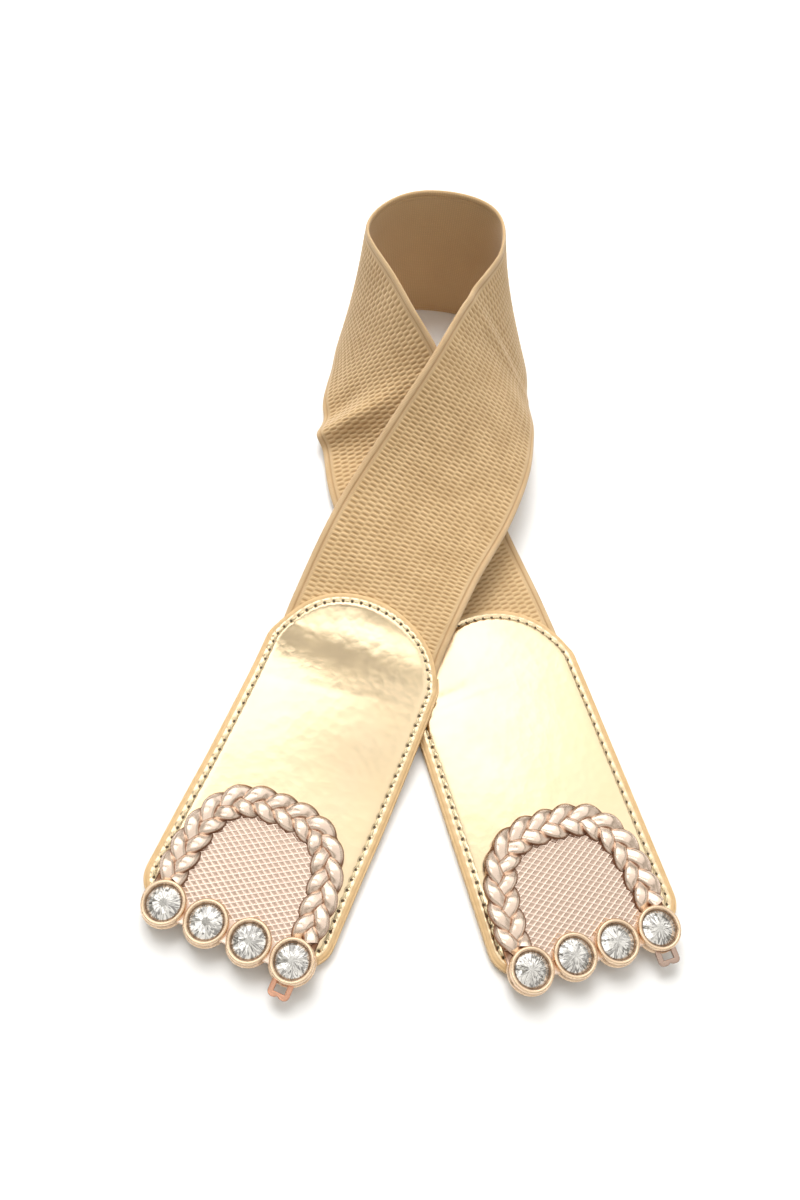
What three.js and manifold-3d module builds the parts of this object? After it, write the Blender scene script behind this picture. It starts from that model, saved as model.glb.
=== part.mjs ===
// Elastic stretch belt: ribbed elastic webbing, two faux-leather end tabs and a cast two-part clasp with round stones.
// Millimetres, +Z up. The belt lies on the plane z = 0 with its clasp halves towards -Y and its loop standing at +Y.
import * as THREE from 'three';
import { mergeVertices } from 'three/addons/utils/BufferGeometryUtils.js';
import Module from 'manifold-3d';

const wasm = await Module();
wasm.setup();

// Webbing
const WEB_WIDTH = 60;
const WEB_THICK = 1.6;
const WEB_COLUMNS = 5;
const WEB_ROW_STEP = 7;
const WEB_END = 9; // distance from a clasp's stone line to the webbing's hidden end

// End tabs: two panels with the webbing between them
const TAB_WIDTH = 65;
const TAB_LENGTH = 124;
const TAB_ARCH = 26;
const TAB_CORNER = 9;
const TAB_SHOULDER = 1.5; // how much narrower the arch is than the tab
const SHOULDER_RISE = 0.45; // share of the arch over which it narrows
const PANEL_FRONT = 1.2;
const PANEL_BACK = 1.0;
const GAP = 0.3;
const TAB_MIDDLE = PANEL_BACK + GAP + WEB_THICK / 2; // height of the webbing's middle where a tab lies flat
const FRONT_FACE = WEB_THICK / 2 + GAP + PANEL_FRONT; // from the webbing's middle to a tab's front face
const PANEL_COLUMNS = 4;

// Clasp half, in its own frame: x along the stone line, y up the tab, z up from the plate's underside
const STONES = 4;
const STONE_PITCH = 14.75;
const BEZEL_RADIUS = 7;
const BEZEL_HEIGHT = 4.6;
const CUP_RADIUS = 5.2;
const CUP_FLOOR = 1.6;
const BEZEL_SIDES = 14;
const ARCH_HALF_WIDTH = 23.6;
const ARCH_SHIFT = -0.6; // from the middle of the stone line to the middle of the arch
const ARCH_FOOT = 6;
const ARCH_HEIGHT = 35.2;
const ARCH_POWER = 3.1;
const BRAID_HALF_WIDTH = 5.2;
const BRAID_STRANDS = 3;
const BRAID_PERIODS = 4.5;
const BRAID_SWING = 3;
const BRAID_LIFT = 0.7;
const BRAID_MIDDLE = 2.6;
const STRAP_WIDTH = 4.8;
const STRAP_CROWN = 0.95; // height of a strand's crown and depth of its edges from its own middle
const STRAP_EDGE = 0.25;
const BRAID_ROOT = 0.8;
const BRAID_STEPS = 29;
const RIB_TOP = 2.2; // solid metal under the braid
const RIB_INSET = 1.1;
const PLATE_THICK = 1.3;
const FIELD_TOP = 2.0;
const DIAMOND_LENGTH = 6;
const DIAMOND_HEIGHT = 3.8;
const DIAMOND_DEPTH = 0.4;
const EYE_WIDTH = 7.2;
const EYE_REACH = 11.4;
const EYE_BAR = 1.8;
const EYE_THICK = 1.5;
const HOOK_WIDTH = 4.6;
const HOOK_DROP = 3.4;
const HOOK_BAR = 1.3;
const HOOK_REACH = 5.4;
const HOOK_BACK = 1.2;
const POST_RADIUS = 1.5;
const POST_HEAD_RADIUS = 2.7;
const POST_HEAD_THICK = 0.7;
const POST_SPACING = 24;
const POST_PLACE = 20;
const POST_SIDES = 8;
const POST_GAP = 0.35;

// Stone
const STONE_RADIUS = 4.9;
const STONE_GIRDLE = 3.1;
const STONE_TABLE = 4.4;
const STONE_TABLE_RADIUS = 1.7;
const STONE_FOOT = 1.9;
const STONE_FOOT_RADIUS = 2.6;
const STONE_FACETS = 14;

// Where each tab lies: the middle of its stone line in plan, its heading from +Y towards -X in degrees, and how far
// the clasp half sits off the tab's middle line.
const LEFT_TAB = { x: -35.8, y: 37.7, heading: -13.5, claspShift: 0.7 };
const RIGHT_TAB = { x: 80.8, y: 51.7, heading: 25.9, claspShift: -0.4 };
const ROW_STEP = 30;
const CENTRE = { x: 22.8, y: 170.3 }; // middle of the whole belt in plan, which becomes the origin

// The middle of the webbing between the tabs' flat ends: place in plan, height, and how far the webbing leans over,
// from lying flat (0) to standing on its edge (90).
const STRAND_ROWS = [
  { x: -24.8, y: 82.4, z: 2.2, lean: -0.15 },
  { x: -21.6, y: 96, z: 2.65, lean: -0.7 },
  { x: -18.1, y: 111, z: 3.8, lean: -2.6 },
  { x: -15, y: 125, z: 5.1, lean: -4.1 },
  { x: -12, y: 139, z: 7.7, lean: -4 },
  { x: -9, y: 153, z: 12, lean: -3 },
  { x: -1, y: 181, z: 19, lean: 6 },
  { x: 10, y: 208, z: 26, lean: 20 },
  { x: 18.5, y: 236, z: 32, lean: 37 },
  { x: 22, y: 265, z: 32, lean: 55 },
  { x: 24.5, y: 293, z: 31, lean: 72 },
  { x: 9, y: 315.2, z: 30.2, lean: 92 },
  { x: -21.5, y: 314.1, z: 30.2, lean: 95 },
  { x: -40.2, y: 293, z: 30.2, lean: 84 },
  { x: -31.7, y: 265, z: 28.5, lean: 63 },
  { x: -19.5, y: 239, z: 21.5, lean: 36 },
  { x: -6, y: 213, z: 11, lean: 14 },
  { x: 11, y: 187, z: 4, lean: 3 },
  { x: 27, y: 161, z: 2.5, lean: 0 },
];
const LEFT_FLAT_ROWS = 2;
const RIGHT_FLAT_ROWS = 4;

// Soft folds across the webbing: distance along it, skew across it (mm along for each mm across), half width along,
// height out of the outer face, the middle of the fold across the webbing and its half length across.
const FOLDS = [
  { at: 400, skew: -0.1, width: 6, height: -1.8, middle: -20, reach: 16 },
  { at: 410, skew: -0.1, width: 5.5, height: 3.8, middle: -15, reach: 23 },
  { at: 421, skew: 0.05, width: 6, height: -2.6, middle: -8, reach: 28 },
  { at: 430, skew: 0.3, width: 8, height: 1.4, middle: -24, reach: 16 },
  { at: 248, skew: -0.2, width: 6, height: 1.1, middle: -4, reach: 30 },
  { at: 262, skew: -0.2, width: 6, height: -0.9, middle: -6, reach: 26 },
];

const COLOURS = {
  webbing: { color: 0xdec49a, roughness: 0.85, metalness: 0 },
  front: { color: 0xf2e0ae, roughness: 0.28, metalness: 0.75 },
  back: { color: 0xcda56a, roughness: 0.6, metalness: 0 },
  casting: { color: 0xe6bea0, roughness: 0.25, metalness: 1 },
  stone: { color: 0xe4e6ea, roughness: 0.05, metalness: 0.1 },
};

function material(name) {
  return new THREE.MeshStandardMaterial(COLOURS[name]);
}

function tabRows(tab, count) {
  const turn = THREE.MathUtils.degToRad(tab.heading);
  return Array.from({ length: count }, (_, k) => ({
    x: tab.x - Math.sin(turn) * ROW_STEP * k,
    y: tab.y + Math.cos(turn) * ROW_STEP * k,
    z: TAB_MIDDLE,
    lean: 0,
  }));
}

// The belt's middle line from the left clasp's stone line to the right one's, with the lean beside it.
const rows = [
  ...tabRows(LEFT_TAB, LEFT_FLAT_ROWS),
  ...STRAND_ROWS,
  ...tabRows(RIGHT_TAB, RIGHT_FLAT_ROWS).reverse(),
];
const middleLine = new THREE.CatmullRomCurve3(
  rows.map((row) => new THREE.Vector3(row.x - CENTRE.x, row.y - CENTRE.y, row.z)),
  false,
  'catmullrom',
  0.5
);
middleLine.arcLengthDivisions = 800;
const leanLine = new THREE.CatmullRomCurve3(
  rows.map((row) => new THREE.Vector3(row.lean, 0, 0)),
  false,
  'catmullrom',
  0.5
);
const BELT_LENGTH = middleLine.getLength();

// A point of the belt: distance along it, across it (positive to the left of the way along), and out of its outer face.
function beltPoint(along, across, out) {
  const t = middleLine.getUtoTmapping(0, THREE.MathUtils.clamp(along, 0, BELT_LENGTH));
  const centre = middleLine.getPoint(t);
  const forward = middleLine.getTangent(t);
  const left = new THREE.Vector3(0, 0, 1).cross(forward).normalize();
  const up = new THREE.Vector3().crossVectors(forward, left);
  const lean = THREE.MathUtils.degToRad(leanLine.getPoint(t).x);
  const side = left.multiplyScalar(Math.cos(lean)).addScaledVector(up, Math.sin(lean));
  const outward = new THREE.Vector3().crossVectors(forward, side);
  return centre.addScaledVector(side, across).addScaledVector(outward, out);
}

function bell(distance, halfWidth) {
  return Math.exp(-((distance / halfWidth) ** 2));
}

function foldHeight(along, across) {
  return FOLDS.reduce((sum, fold) => {
    const distance = along - fold.at - fold.skew * across;
    return sum + fold.height * bell(distance, fold.width) * bell(across - fold.middle, fold.reach);
  }, 0);
}

// Closed slab between two grids of points with the same rows and columns; front is the outer face.
function slab(front, back) {
  const rowCount = front.length;
  const columnCount = front[0].length;
  const offset = rowCount * columnCount;
  const positions = [...front.flat(), ...back.flat()].flatMap((p) => [p.x, p.y, p.z]);
  const f = (i, j) => i * columnCount + j;
  const b = (i, j) => offset + i * columnCount + j;
  const index = [];
  const quad = (p, q, r, s) => index.push(p, q, r, p, r, s);
  for (let i = 0; i < rowCount - 1; i++) {
    for (let j = 0; j < columnCount - 1; j++) {
      quad(f(i, j), f(i + 1, j), f(i + 1, j + 1), f(i, j + 1));
      quad(b(i, j), b(i, j + 1), b(i + 1, j + 1), b(i + 1, j));
    }
    const last = columnCount - 1;
    quad(f(i, 0), b(i, 0), b(i + 1, 0), f(i + 1, 0));
    quad(f(i, last), f(i + 1, last), b(i + 1, last), b(i, last));
  }
  for (let j = 0; j < columnCount - 1; j++) {
    const last = rowCount - 1;
    quad(f(0, j), f(0, j + 1), b(0, j + 1), b(0, j));
    quad(f(last, j), b(last, j), b(last, j + 1), f(last, j + 1));
  }
  const geometry = new THREE.BufferGeometry();
  geometry.setAttribute('position', new THREE.Float32BufferAttribute(positions, 3));
  geometry.setIndex(index);
  return geometry;
}

function solid(geometry) {
  const bare = geometry.clone();
  bare.deleteAttribute('normal');
  bare.deleteAttribute('uv');
  const merged = mergeVertices(bare, 1e-4);
  return new wasm.Manifold(
    new wasm.Mesh({
      numProp: 3,
      vertProperties: new Float32Array(merged.attributes.position.array),
      triVerts: new Uint32Array(merged.index.array),
    })
  );
}

function geometryOf(manifold) {
  const mesh = manifold.getMesh();
  const geometry = new THREE.BufferGeometry();
  geometry.setAttribute('position', new THREE.BufferAttribute(new Float32Array(mesh.vertProperties), 3));
  geometry.setIndex(new THREE.BufferAttribute(new Uint32Array(mesh.triVerts), 1));
  return geometry;
}

function named(name, geometry, finish) {
  const mesh = new THREE.Mesh(geometry, material(finish));
  mesh.name = name;
  return mesh;
}

function spread(low, high, count) {
  return Array.from({ length: count }, (_, k) => low + ((high - low) * k) / (count - 1));
}

// Upright round pin between two heights
function pin(radius, low, high, sides) {
  const geometry = new THREE.CylinderGeometry(radius, radius, high - low, sides);
  geometry.rotateX(Math.PI / 2);
  geometry.translate(0, 0, (low + high) / 2);
  return geometry;
}

function block(low, high) {
  const size = high.map((value, k) => value - low[k]);
  const geometry = new THREE.BoxGeometry(...size);
  geometry.translate(...low.map((value, k) => value + size[k] / 2));
  return geometry;
}

// Places a shape of the clasp's own frame on its tab
function onTab(geometry, tab, height) {
  const turn = THREE.MathUtils.degToRad(tab.heading);
  const placed = geometry.clone();
  placed.translate(tab.claspShift, 0, 0);
  placed.rotateZ(turn);
  placed.translate(tab.x - CENTRE.x, tab.y - CENTRE.y, height);
  return placed;
}

function postPlaces() {
  return [-POST_SPACING / 2, POST_SPACING / 2].map((x) => ({ x, y: POST_PLACE }));
}

// Holes for both posts of a clasp half, through whatever lies between two heights above the floor
function drillPosts(geometry, tab, radius) {
  const through = 12;
  return geometryOf(
    postPlaces().reduce((rest, place) => {
      const tool = pin(radius, -through, through, POST_SIDES);
      tool.translate(place.x, place.y, 0);
      return rest.subtract(solid(onTab(tool, tab, 0)));
    }, solid(geometry))
  );
}

function buildWebbing() {
  const count = Math.round((BELT_LENGTH - 2 * WEB_END) / WEB_ROW_STEP);
  const alongs = spread(WEB_END, BELT_LENGTH - WEB_END, count);
  const acrosses = spread(-WEB_WIDTH / 2, WEB_WIDTH / 2, WEB_COLUMNS + 1);
  const face = (out) =>
    alongs.map((along) => acrosses.map((across) => beltPoint(along, across, out + foldHeight(along, across))));
  const strip = slab(face(WEB_THICK / 2), face(-WEB_THICK / 2));
  const hole = POST_RADIUS + POST_GAP;
  return named('webbing', drillPosts(drillPosts(strip, LEFT_TAB, hole), RIGHT_TAB, hole), 'webbing');
}

// Half width of a tab at a distance up from its lower edge: rounded corners, straight sides, then the arch
function tabHalfWidth(up) {
  const full = TAB_WIDTH / 2;
  const spring = TAB_LENGTH - TAB_ARCH;
  if (up < TAB_CORNER) {
    return full - TAB_CORNER + Math.sqrt(TAB_CORNER ** 2 - (TAB_CORNER - up) ** 2);
  }
  if (up <= spring) {
    return full;
  }
  const rise = (up - spring) / TAB_ARCH;
  const shoulder = TAB_SHOULDER * THREE.MathUtils.smoothstep(rise, 0, SHOULDER_RISE);
  return (full - shoulder) * Math.sqrt(1 - rise ** 2);
}

function tabLevels() {
  const corner = [0.3, 1.6, 4, TAB_CORNER];
  const straight = [44, 51, 60, 72, 84, 92, TAB_LENGTH - TAB_ARCH];
  const arch = [8, 17, 28, 40, 52, 64, 76, 84].map(
    (angle) => TAB_LENGTH - TAB_ARCH + TAB_ARCH * Math.sin(THREE.MathUtils.degToRad(angle))
  );
  return [...corner, ...straight, ...arch];
}

function buildPanel(name, tab, low, high, finish) {
  const fromRight = tab === RIGHT_TAB;
  const levels = fromRight ? tabLevels().reverse() : tabLevels();
  const face = (out) =>
    levels.map((up) => {
      const half = tabHalfWidth(up);
      const along = fromRight ? BELT_LENGTH - up : up;
      return spread(-half, half, PANEL_COLUMNS + 1).map((across) => beltPoint(along, across, out));
    });
  const hole = low < 0 ? POST_HEAD_RADIUS + POST_GAP : POST_RADIUS + POST_GAP;
  return named(name, drillPosts(slab(face(high), face(low)), tab, hole), finish);
}

// Point of the clasp's arch for 0 at its left foot and 1 at its right foot, grown outwards by a distance
function archPoint(share, grow) {
  const angle = Math.PI * (1 - share);
  const curve = (value) => Math.sign(value) * Math.abs(value) ** (2 / ARCH_POWER);
  return new THREE.Vector2(
    ARCH_SHIFT + (ARCH_HALF_WIDTH + grow) * curve(Math.cos(angle)),
    ARCH_FOOT + (ARCH_HEIGHT + grow) * curve(Math.sin(angle))
  );
}

function archOutline(grow, foot, steps) {
  const points = spread(0.03, 0.97, steps).map((share) => archPoint(share, grow));
  const [left, right] = [-1, 1].map((side) => ARCH_SHIFT + side * (ARCH_HALF_WIDTH + grow));
  return new THREE.Shape([new THREE.Vector2(left, foot), ...points, new THREE.Vector2(right, foot)].reverse());
}

function extruded(shape, low, high) {
  const geometry = new THREE.ExtrudeGeometry(shape, { depth: high - low, bevelEnabled: false, curveSegments: 6 });
  geometry.translate(0, 0, low);
  return geometry;
}

// One strand of the braid: it swings from edge to edge and dives under and over the other two.
function braidStrand(number) {
  const phase = (share) => 2 * Math.PI * (BRAID_PERIODS * share + number / BRAID_STRANDS);
  const path = new THREE.CatmullRomCurve3(
    spread(0, 1, 60).map((share) => archPoint(0.035 + 0.93 * share, 0)).map((p) => new THREE.Vector3(p.x, p.y, 0)),
    false,
    'catmullrom',
    0.5
  );
  const up = new THREE.Vector3(0, 0, 1);
  const place = (share) => {
    const centre = path.getPointAt(share);
    const outward = new THREE.Vector3().crossVectors(path.getTangentAt(share), up).negate();
    const height = BRAID_MIDDLE + BRAID_LIFT * Math.sin(2 * phase(share));
    return centre.addScaledVector(outward, BRAID_SWING * Math.sin(phase(share))).setZ(height);
  };
  const section = (share) => {
    const step = 0.004;
    const before = place(Math.max(0, share - step));
    const forward = place(Math.min(1, share + step)).sub(before).normalize();
    const side = new THREE.Vector3().crossVectors(up, forward).normalize();
    const crown = new THREE.Vector3().crossVectors(forward, side);
    const centre = place(share);
    const at = (across, out) => centre.clone().addScaledVector(side, across).addScaledVector(crown, out);
    const top = [at(-STRAP_WIDTH / 2, -STRAP_EDGE), at(0, STRAP_CROWN), at(STRAP_WIDTH / 2, -STRAP_EDGE)];
    return { top, bottom: top.map((p) => p.clone().setZ(BRAID_ROOT)) };
  };
  const sections = spread(0, 1, BRAID_STEPS + 1).map(section);
  return slab(sections.map((s) => s.top), sections.map((s) => s.bottom));
}

// Crosshatched field: small diamond cells sunk between raised lines, cut to the space inside the braid
function crosshatch() {
  const middle = (ARCH_FOOT + ARCH_HEIGHT) / 2;
  const count = Math.ceil((2 * ARCH_HALF_WIDTH) / DIAMOND_LENGTH + (2 * middle) / DIAMOND_HEIGHT) + 1;
  const base = PLATE_THICK - 0.5;
  const corner = (i, j) => {
    const x = ARCH_SHIFT + ((i + j - count) * DIAMOND_LENGTH) / 2;
    return new THREE.Vector3(x, middle + ((i - j) * DIAMOND_HEIGHT) / 2, FIELD_TOP);
  };
  const positions = [];
  const index = [];
  const add = (p) => positions.push(p.x, p.y, p.z) / 3 - 1;
  const top = Array.from({ length: count + 1 }, (_, i) =>
    Array.from({ length: count + 1 }, (_, j) => add(corner(i, j)))
  );
  for (let i = 0; i < count; i++) {
    for (let j = 0; j < count; j++) {
      const pit = corner(i, j).add(corner(i + 1, j + 1)).multiplyScalar(0.5).setZ(FIELD_TOP - DIAMOND_DEPTH);
      const centre = add(pit);
      const ring = [top[i][j], top[i][j + 1], top[i + 1][j + 1], top[i + 1][j]];
      ring.forEach((vertex, k) => index.push(vertex, ring[(k + 1) % 4], centre));
    }
  }
  const rim = [
    ...top[0],
    ...top.slice(1, -1).map((row) => row[count]),
    ...top[count].slice().reverse(),
    ...top.slice(1, -1).reverse().map((row) => row[0]),
  ];
  const lower = rim.map((vertex) => add(new THREE.Vector3(positions[3 * vertex], positions[3 * vertex + 1], base)));
  const hub = add(new THREE.Vector3(ARCH_SHIFT, middle, base));
  rim.forEach((vertex, k) => {
    const next = (k + 1) % rim.length;
    index.push(vertex, lower[k], lower[next], vertex, lower[next], rim[next]);
    index.push(lower[next], lower[k], hub);
  });
  const sheet = new THREE.BufferGeometry();
  sheet.setAttribute('position', new THREE.Float32BufferAttribute(positions, 3));
  sheet.setIndex(index);
  const space = extruded(archOutline(-BRAID_HALF_WIDTH / 2, 1, 15), 0, FIELD_TOP + 1);
  return solid(sheet).intersect(solid(space));
}

function stonePlaces() {
  return spread(-1.5, 1.5, STONES).map((k) => k * STONE_PITCH);
}

function bezel(x) {
  const rim = BEZEL_HEIGHT;
  const profile = [
    [0, 0],
    [BEZEL_RADIUS, 0],
    [BEZEL_RADIUS, 0.9],
    [BEZEL_RADIUS - 0.3, 1.4],
    [BEZEL_RADIUS - 0.1, rim - 0.7],
    [BEZEL_RADIUS - 0.7, rim],
    [CUP_RADIUS + 0.4, rim - 0.1],
    [CUP_RADIUS, rim - 0.8],
    [CUP_RADIUS, CUP_FLOOR],
    [0, CUP_FLOOR],
  ].map(([radius, height]) => new THREE.Vector2(radius, height));
  const geometry = new THREE.LatheGeometry(profile, BEZEL_SIDES);
  geometry.rotateX(Math.PI / 2);
  geometry.translate(x, 0, 0);
  return geometry;
}

function cupSpace(x) {
  const geometry = pin(CUP_RADIUS, CUP_FLOOR, BEZEL_HEIGHT + 1, BEZEL_SIDES);
  geometry.translate(x, 0, 0);
  return geometry;
}

// Small rectangular eye under the last bezel
function eye() {
  const x = stonePlaces()[STONES - 1];
  const half = EYE_WIDTH / 2;
  const shape = new THREE.Shape([
    new THREE.Vector2(x - half, -EYE_REACH),
    new THREE.Vector2(x + half, -EYE_REACH),
    new THREE.Vector2(x + half, -2),
    new THREE.Vector2(x - half, -2),
  ]);
  const inner = half - EYE_BAR;
  const top = -BEZEL_RADIUS + 1.4;
  shape.holes.push(
    new THREE.Path([
      new THREE.Vector2(x - inner, -EYE_REACH + EYE_BAR),
      new THREE.Vector2(x - inner, top),
      new THREE.Vector2(x + inner, top),
      new THREE.Vector2(x + inner, -EYE_REACH + EYE_BAR),
    ])
  );
  return extruded(shape, 0.05, EYE_THICK);
}

// Plain hidden hook under the first bezel, which the other half's eye goes over
function hook() {
  const x = stonePlaces()[0];
  const side = HOOK_WIDTH / 2;
  const stem = block([x - side, -HOOK_BACK - HOOK_BAR, -HOOK_DROP], [x + side, -HOOK_BACK, 0.6]);
  const toe = block([x - side, -HOOK_REACH, -HOOK_DROP], [x + side, -HOOK_BACK - 0.2, -HOOK_DROP + HOOK_BAR]);
  return solid(stem).add(solid(toe));
}

// Post through the tab's holes with its head spread inside the backing panel
function post(place) {
  const floor = -GAP - FRONT_FACE - TAB_MIDDLE;
  const head = pin(POST_HEAD_RADIUS, floor + 0.1, floor + 0.1 + POST_HEAD_THICK, POST_SIDES);
  const shaft = pin(POST_RADIUS, floor + 0.3, 0.6, POST_SIDES);
  head.translate(place.x, place.y, 0);
  shaft.translate(place.x, place.y, 0);
  return solid(head).add(solid(shaft));
}

// Low solid arch that the braid sits on, so that no hollow is closed in under its strands
function rib() {
  const grow = BRAID_HALF_WIDTH - RIB_INSET;
  const outer = extruded(archOutline(grow, ARCH_FOOT - 1, 16), 0.2, RIB_TOP);
  const inner = extruded(archOutline(-grow, ARCH_FOOT - 3, 16), -1, RIB_TOP + 1);
  return solid(outer).subtract(solid(inner));
}

function castClasp() {
  const plate = solid(extruded(archOutline(BRAID_HALF_WIDTH - 0.2, 2, 20), 0, PLATE_THICK));
  const web = solid(block([-1.5 * STONE_PITCH, -3.2, 0], [1.5 * STONE_PITCH, 4, PLATE_THICK + 0.6]));
  const parts = [
    web,
    rib(),
    crosshatch(),
    solid(eye()),
    hook(),
    ...Array.from({ length: BRAID_STRANDS }, (_, k) => solid(braidStrand(k))),
    ...stonePlaces().map((x) => solid(bezel(x))),
    ...postPlaces().map(post),
  ];
  const whole = parts.reduce((sum, part) => sum.add(part), plate);
  return geometryOf(stonePlaces().reduce((rest, x) => rest.subtract(solid(cupSpace(x))), whole));
}

// Round cut stone: flat table, long crown facets down to the girdle, and a cone cut off flat below
function cutStone() {
  const profile = [
    [0, STONE_FOOT],
    [STONE_FOOT_RADIUS, STONE_FOOT],
    [STONE_RADIUS, STONE_GIRDLE],
    [STONE_TABLE_RADIUS, STONE_TABLE],
    [0, STONE_TABLE],
  ].map(([radius, height]) => new THREE.Vector2(radius, height));
  const geometry = new THREE.LatheGeometry(profile, STONE_FACETS);
  geometry.rotateX(Math.PI / 2);
  return geometry;
}

function claspHalf(side, tab, castGeometry, stoneGeometry) {
  const group = new THREE.Group();
  group.position.set(tab.x - CENTRE.x, tab.y - CENTRE.y, TAB_MIDDLE + FRONT_FACE + GAP);
  group.rotation.z = THREE.MathUtils.degToRad(tab.heading);
  const casting = named(`buckle_${side}`, castGeometry, 'casting');
  casting.position.x = tab.claspShift;
  group.add(casting);
  stonePlaces().forEach((x, k) => {
    const stone = named(`stone_${side}_${k + 1}`, stoneGeometry, 'stone');
    stone.position.x = tab.claspShift + x;
    group.add(stone);
  });
  return group;
}

function buildTab(side, tab) {
  const group = new THREE.Group();
  const inner = WEB_THICK / 2 + GAP;
  group.add(buildPanel(`tab_front_${side}`, tab, inner, FRONT_FACE, 'front'));
  group.add(buildPanel(`tab_back_${side}`, tab, -inner - PANEL_BACK, -inner, 'back'));
  return group;
}

const belt = new THREE.Group();
const castGeometry = castClasp();
const stoneGeometry = cutStone();
belt.add(buildWebbing());
belt.add(buildTab('left', LEFT_TAB), buildTab('right', RIGHT_TAB));
belt.add(claspHalf('left', LEFT_TAB, castGeometry, stoneGeometry));
belt.add(claspHalf('right', RIGHT_TAB, castGeometry, stoneGeometry));

export default belt;
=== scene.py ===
"""Lying stretch belt: bumpy elastic webbing, gold end tabs, a braided clasp in two halves and cut stones.

Sizes are millimetres in the belt's own frame, whose origin is the middle of its box on the floor. Meshes,
lights and camera are written in metres.
"""

import math

import bpy
import numpy as np
from mathutils import Matrix, Vector


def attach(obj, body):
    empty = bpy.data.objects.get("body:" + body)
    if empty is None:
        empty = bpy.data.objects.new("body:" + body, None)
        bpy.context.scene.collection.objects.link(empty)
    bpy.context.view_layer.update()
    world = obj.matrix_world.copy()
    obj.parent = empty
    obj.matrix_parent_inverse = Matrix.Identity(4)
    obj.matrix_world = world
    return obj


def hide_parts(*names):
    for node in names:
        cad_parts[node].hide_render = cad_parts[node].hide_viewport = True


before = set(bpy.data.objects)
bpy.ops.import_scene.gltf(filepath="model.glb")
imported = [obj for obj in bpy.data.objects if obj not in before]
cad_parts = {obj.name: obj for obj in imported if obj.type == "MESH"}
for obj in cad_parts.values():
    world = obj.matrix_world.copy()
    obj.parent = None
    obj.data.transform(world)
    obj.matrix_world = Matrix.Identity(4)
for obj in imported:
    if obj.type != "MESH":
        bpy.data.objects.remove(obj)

bl_info = {
    "name": "Stretch Belt",
    "version": (1, 0, 0),
    "blender": (4, 5, 0),
    "location": "View3D > Sidebar > Belt",
    "description": "Builds an elastic belt with gold tabs and a braided clasp around its packed solids",
    "category": "Add Mesh",
}

MM = 0.001
PLACE_SCALE = 0.01  # from millimetres to the places that the materials' patterns are set out in

# Webbing
WEB_HALF = 30.0
WEB_END = 9.0  # from the stone line up to the strip's end inside its tab
FIELD_HALF = 26.3  # half width of the bumped field; the rest is selvedge
FIELD_COLUMNS = 17
POINTS_PER_BUMP = 6  # across the belt
ROWS_PER_BUMP = 5  # along the belt
HIDDEN_STEP = 5.0  # between rows inside a tab
CREST_OUT = 0.95  # from the webbing's middle out to the bumps' crests
LINING_OUT = -0.68
LINING_POINTS = 13
LINING_BELOW = -0.2  # a face whose two sides together lie lower than this is lining
SELVEDGE_GROOVE = 1.4  # past the bumped field; a line of painted shade lies in the selvedge's groove here
BUMP_SQUARENESS = 0.35  # power of the wave across: lower is squarer
PIT_NARROWNESS = 1.5  # power of the fall into a pit: higher is narrower
UNEVEN_DEPTH = (0.88, 1.08)  # least and most of the set depth
PRESSED_SHARE = 0.45  # share of the bumps' depth left where a tab presses them

# Selvedge: distance past the bumped field, and height out of the webbing's middle
SELVEDGE = (
    (0.35, 0.62),
    (0.7, 0.78),
    (1.1, 0.74),
    (1.4, 0.5),
    (1.7, 0.74),
    (2.2, 0.82),
    (2.8, 0.76),
    (3.3, 0.55),
    (3.6, 0.28),
)

# End tabs, measured from the stone line up
TAB_HALF = 32.5
TAB_LENGTH = 124.0
TAB_ARCH = 26.0
TAB_CORNER = 9.0
TAB_SHOULDER = 1.5
TAB_MIDDLE = 2.1  # height of the webbing's middle where a tab lies flat
FRONT_FACE = 2.3  # from the webbing's middle out to a tab's front face
BACK_FACE = -2.1
PANEL_INNER = 1.1
STITCH_INSET = 2.9
PAINT_WIDTH = 1.4  # painted rim of the front panel
SHOULDER_RISE = 0.45  # share of the arch over which it narrows
HIDDEN_WEB = TAB_LENGTH - 22  # the webbing is coarse up to here
PRESSED_FROM = TAB_LENGTH - 18  # bumps are pressed below this place and free above the next
FREE_FROM = TAB_LENGTH + 16
TAB_SPINE = (22.0, TAB_LENGTH - TAB_ARCH - 4)  # ends of the middle segment that its rings draw in to
OUTLINE_POINTS = 1000
RIM_PINCH = 0.55  # how far the front's rim is pulled down where the panels meet
PINCH_REACH = 5.0  # how far in that reaches
RIM_DROP = 0.45
GROOVE_DEPTH = 0.28
HOLE_DEPTH = 0.4
PUCKER_DEPTH = 0.14
BACK_PINCH = 0.5
BACK_ROUND = 0.3
PANEL_GAP = 0.05  # from the webbing's middle to each panel's edge where they meet
FRONT_OVER_WEB = 0.98  # from the webbing's middle to the panels' edges where the webbing comes out
BACK_UNDER_WEB = 0.9
BAND_BAR = (0.8, 2.6, 0.3)  # painted band over the join of the panels: thickness, width, corner
BAND_OUT = 0.12  # from the tab's outline out to its middle

# Clasp half: x along its stone line, y up its tab, z up from its plate's underside
CLASP_HEIGHT = 4.7
STONE_PITCH = 14.75
STONE_COUNT = 4
ARCH_HALF = 23.6
ARCH_FOOT = 6.0
ARCH_HEIGHT = 35.2
ARCH_POWER = 3.1
ARCH_SHIFT = -0.6
BRAID_STRANDS = 3
BRAID_PERIODS = 4.5
BRAID_ROOT = 0.8
BRAID_MIDDLE = 2.7
BRAID_STEPS = 260
STRAP_EDGE = 0.3  # how far a strap's edges lie under its middle line
STRAP_FLATNESS = 3.2  # power of its crown: higher is flatter
STRAP_POINTS = 15
RECESS_HEIGHTS = (1.8, 3.2)  # a strap's painted shade is full below the first and gone above the second
FIELD_TOP = 2.0
FIELD_FLOOR = 1.0
FIELD_INSET = 2.2  # from the braid's middle line
FIELD_SHADE = 0.55  # how dark the painted shade on the floor between the raised lines is
PLATE_GROW = 4.4  # past the braid's middle line
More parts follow.
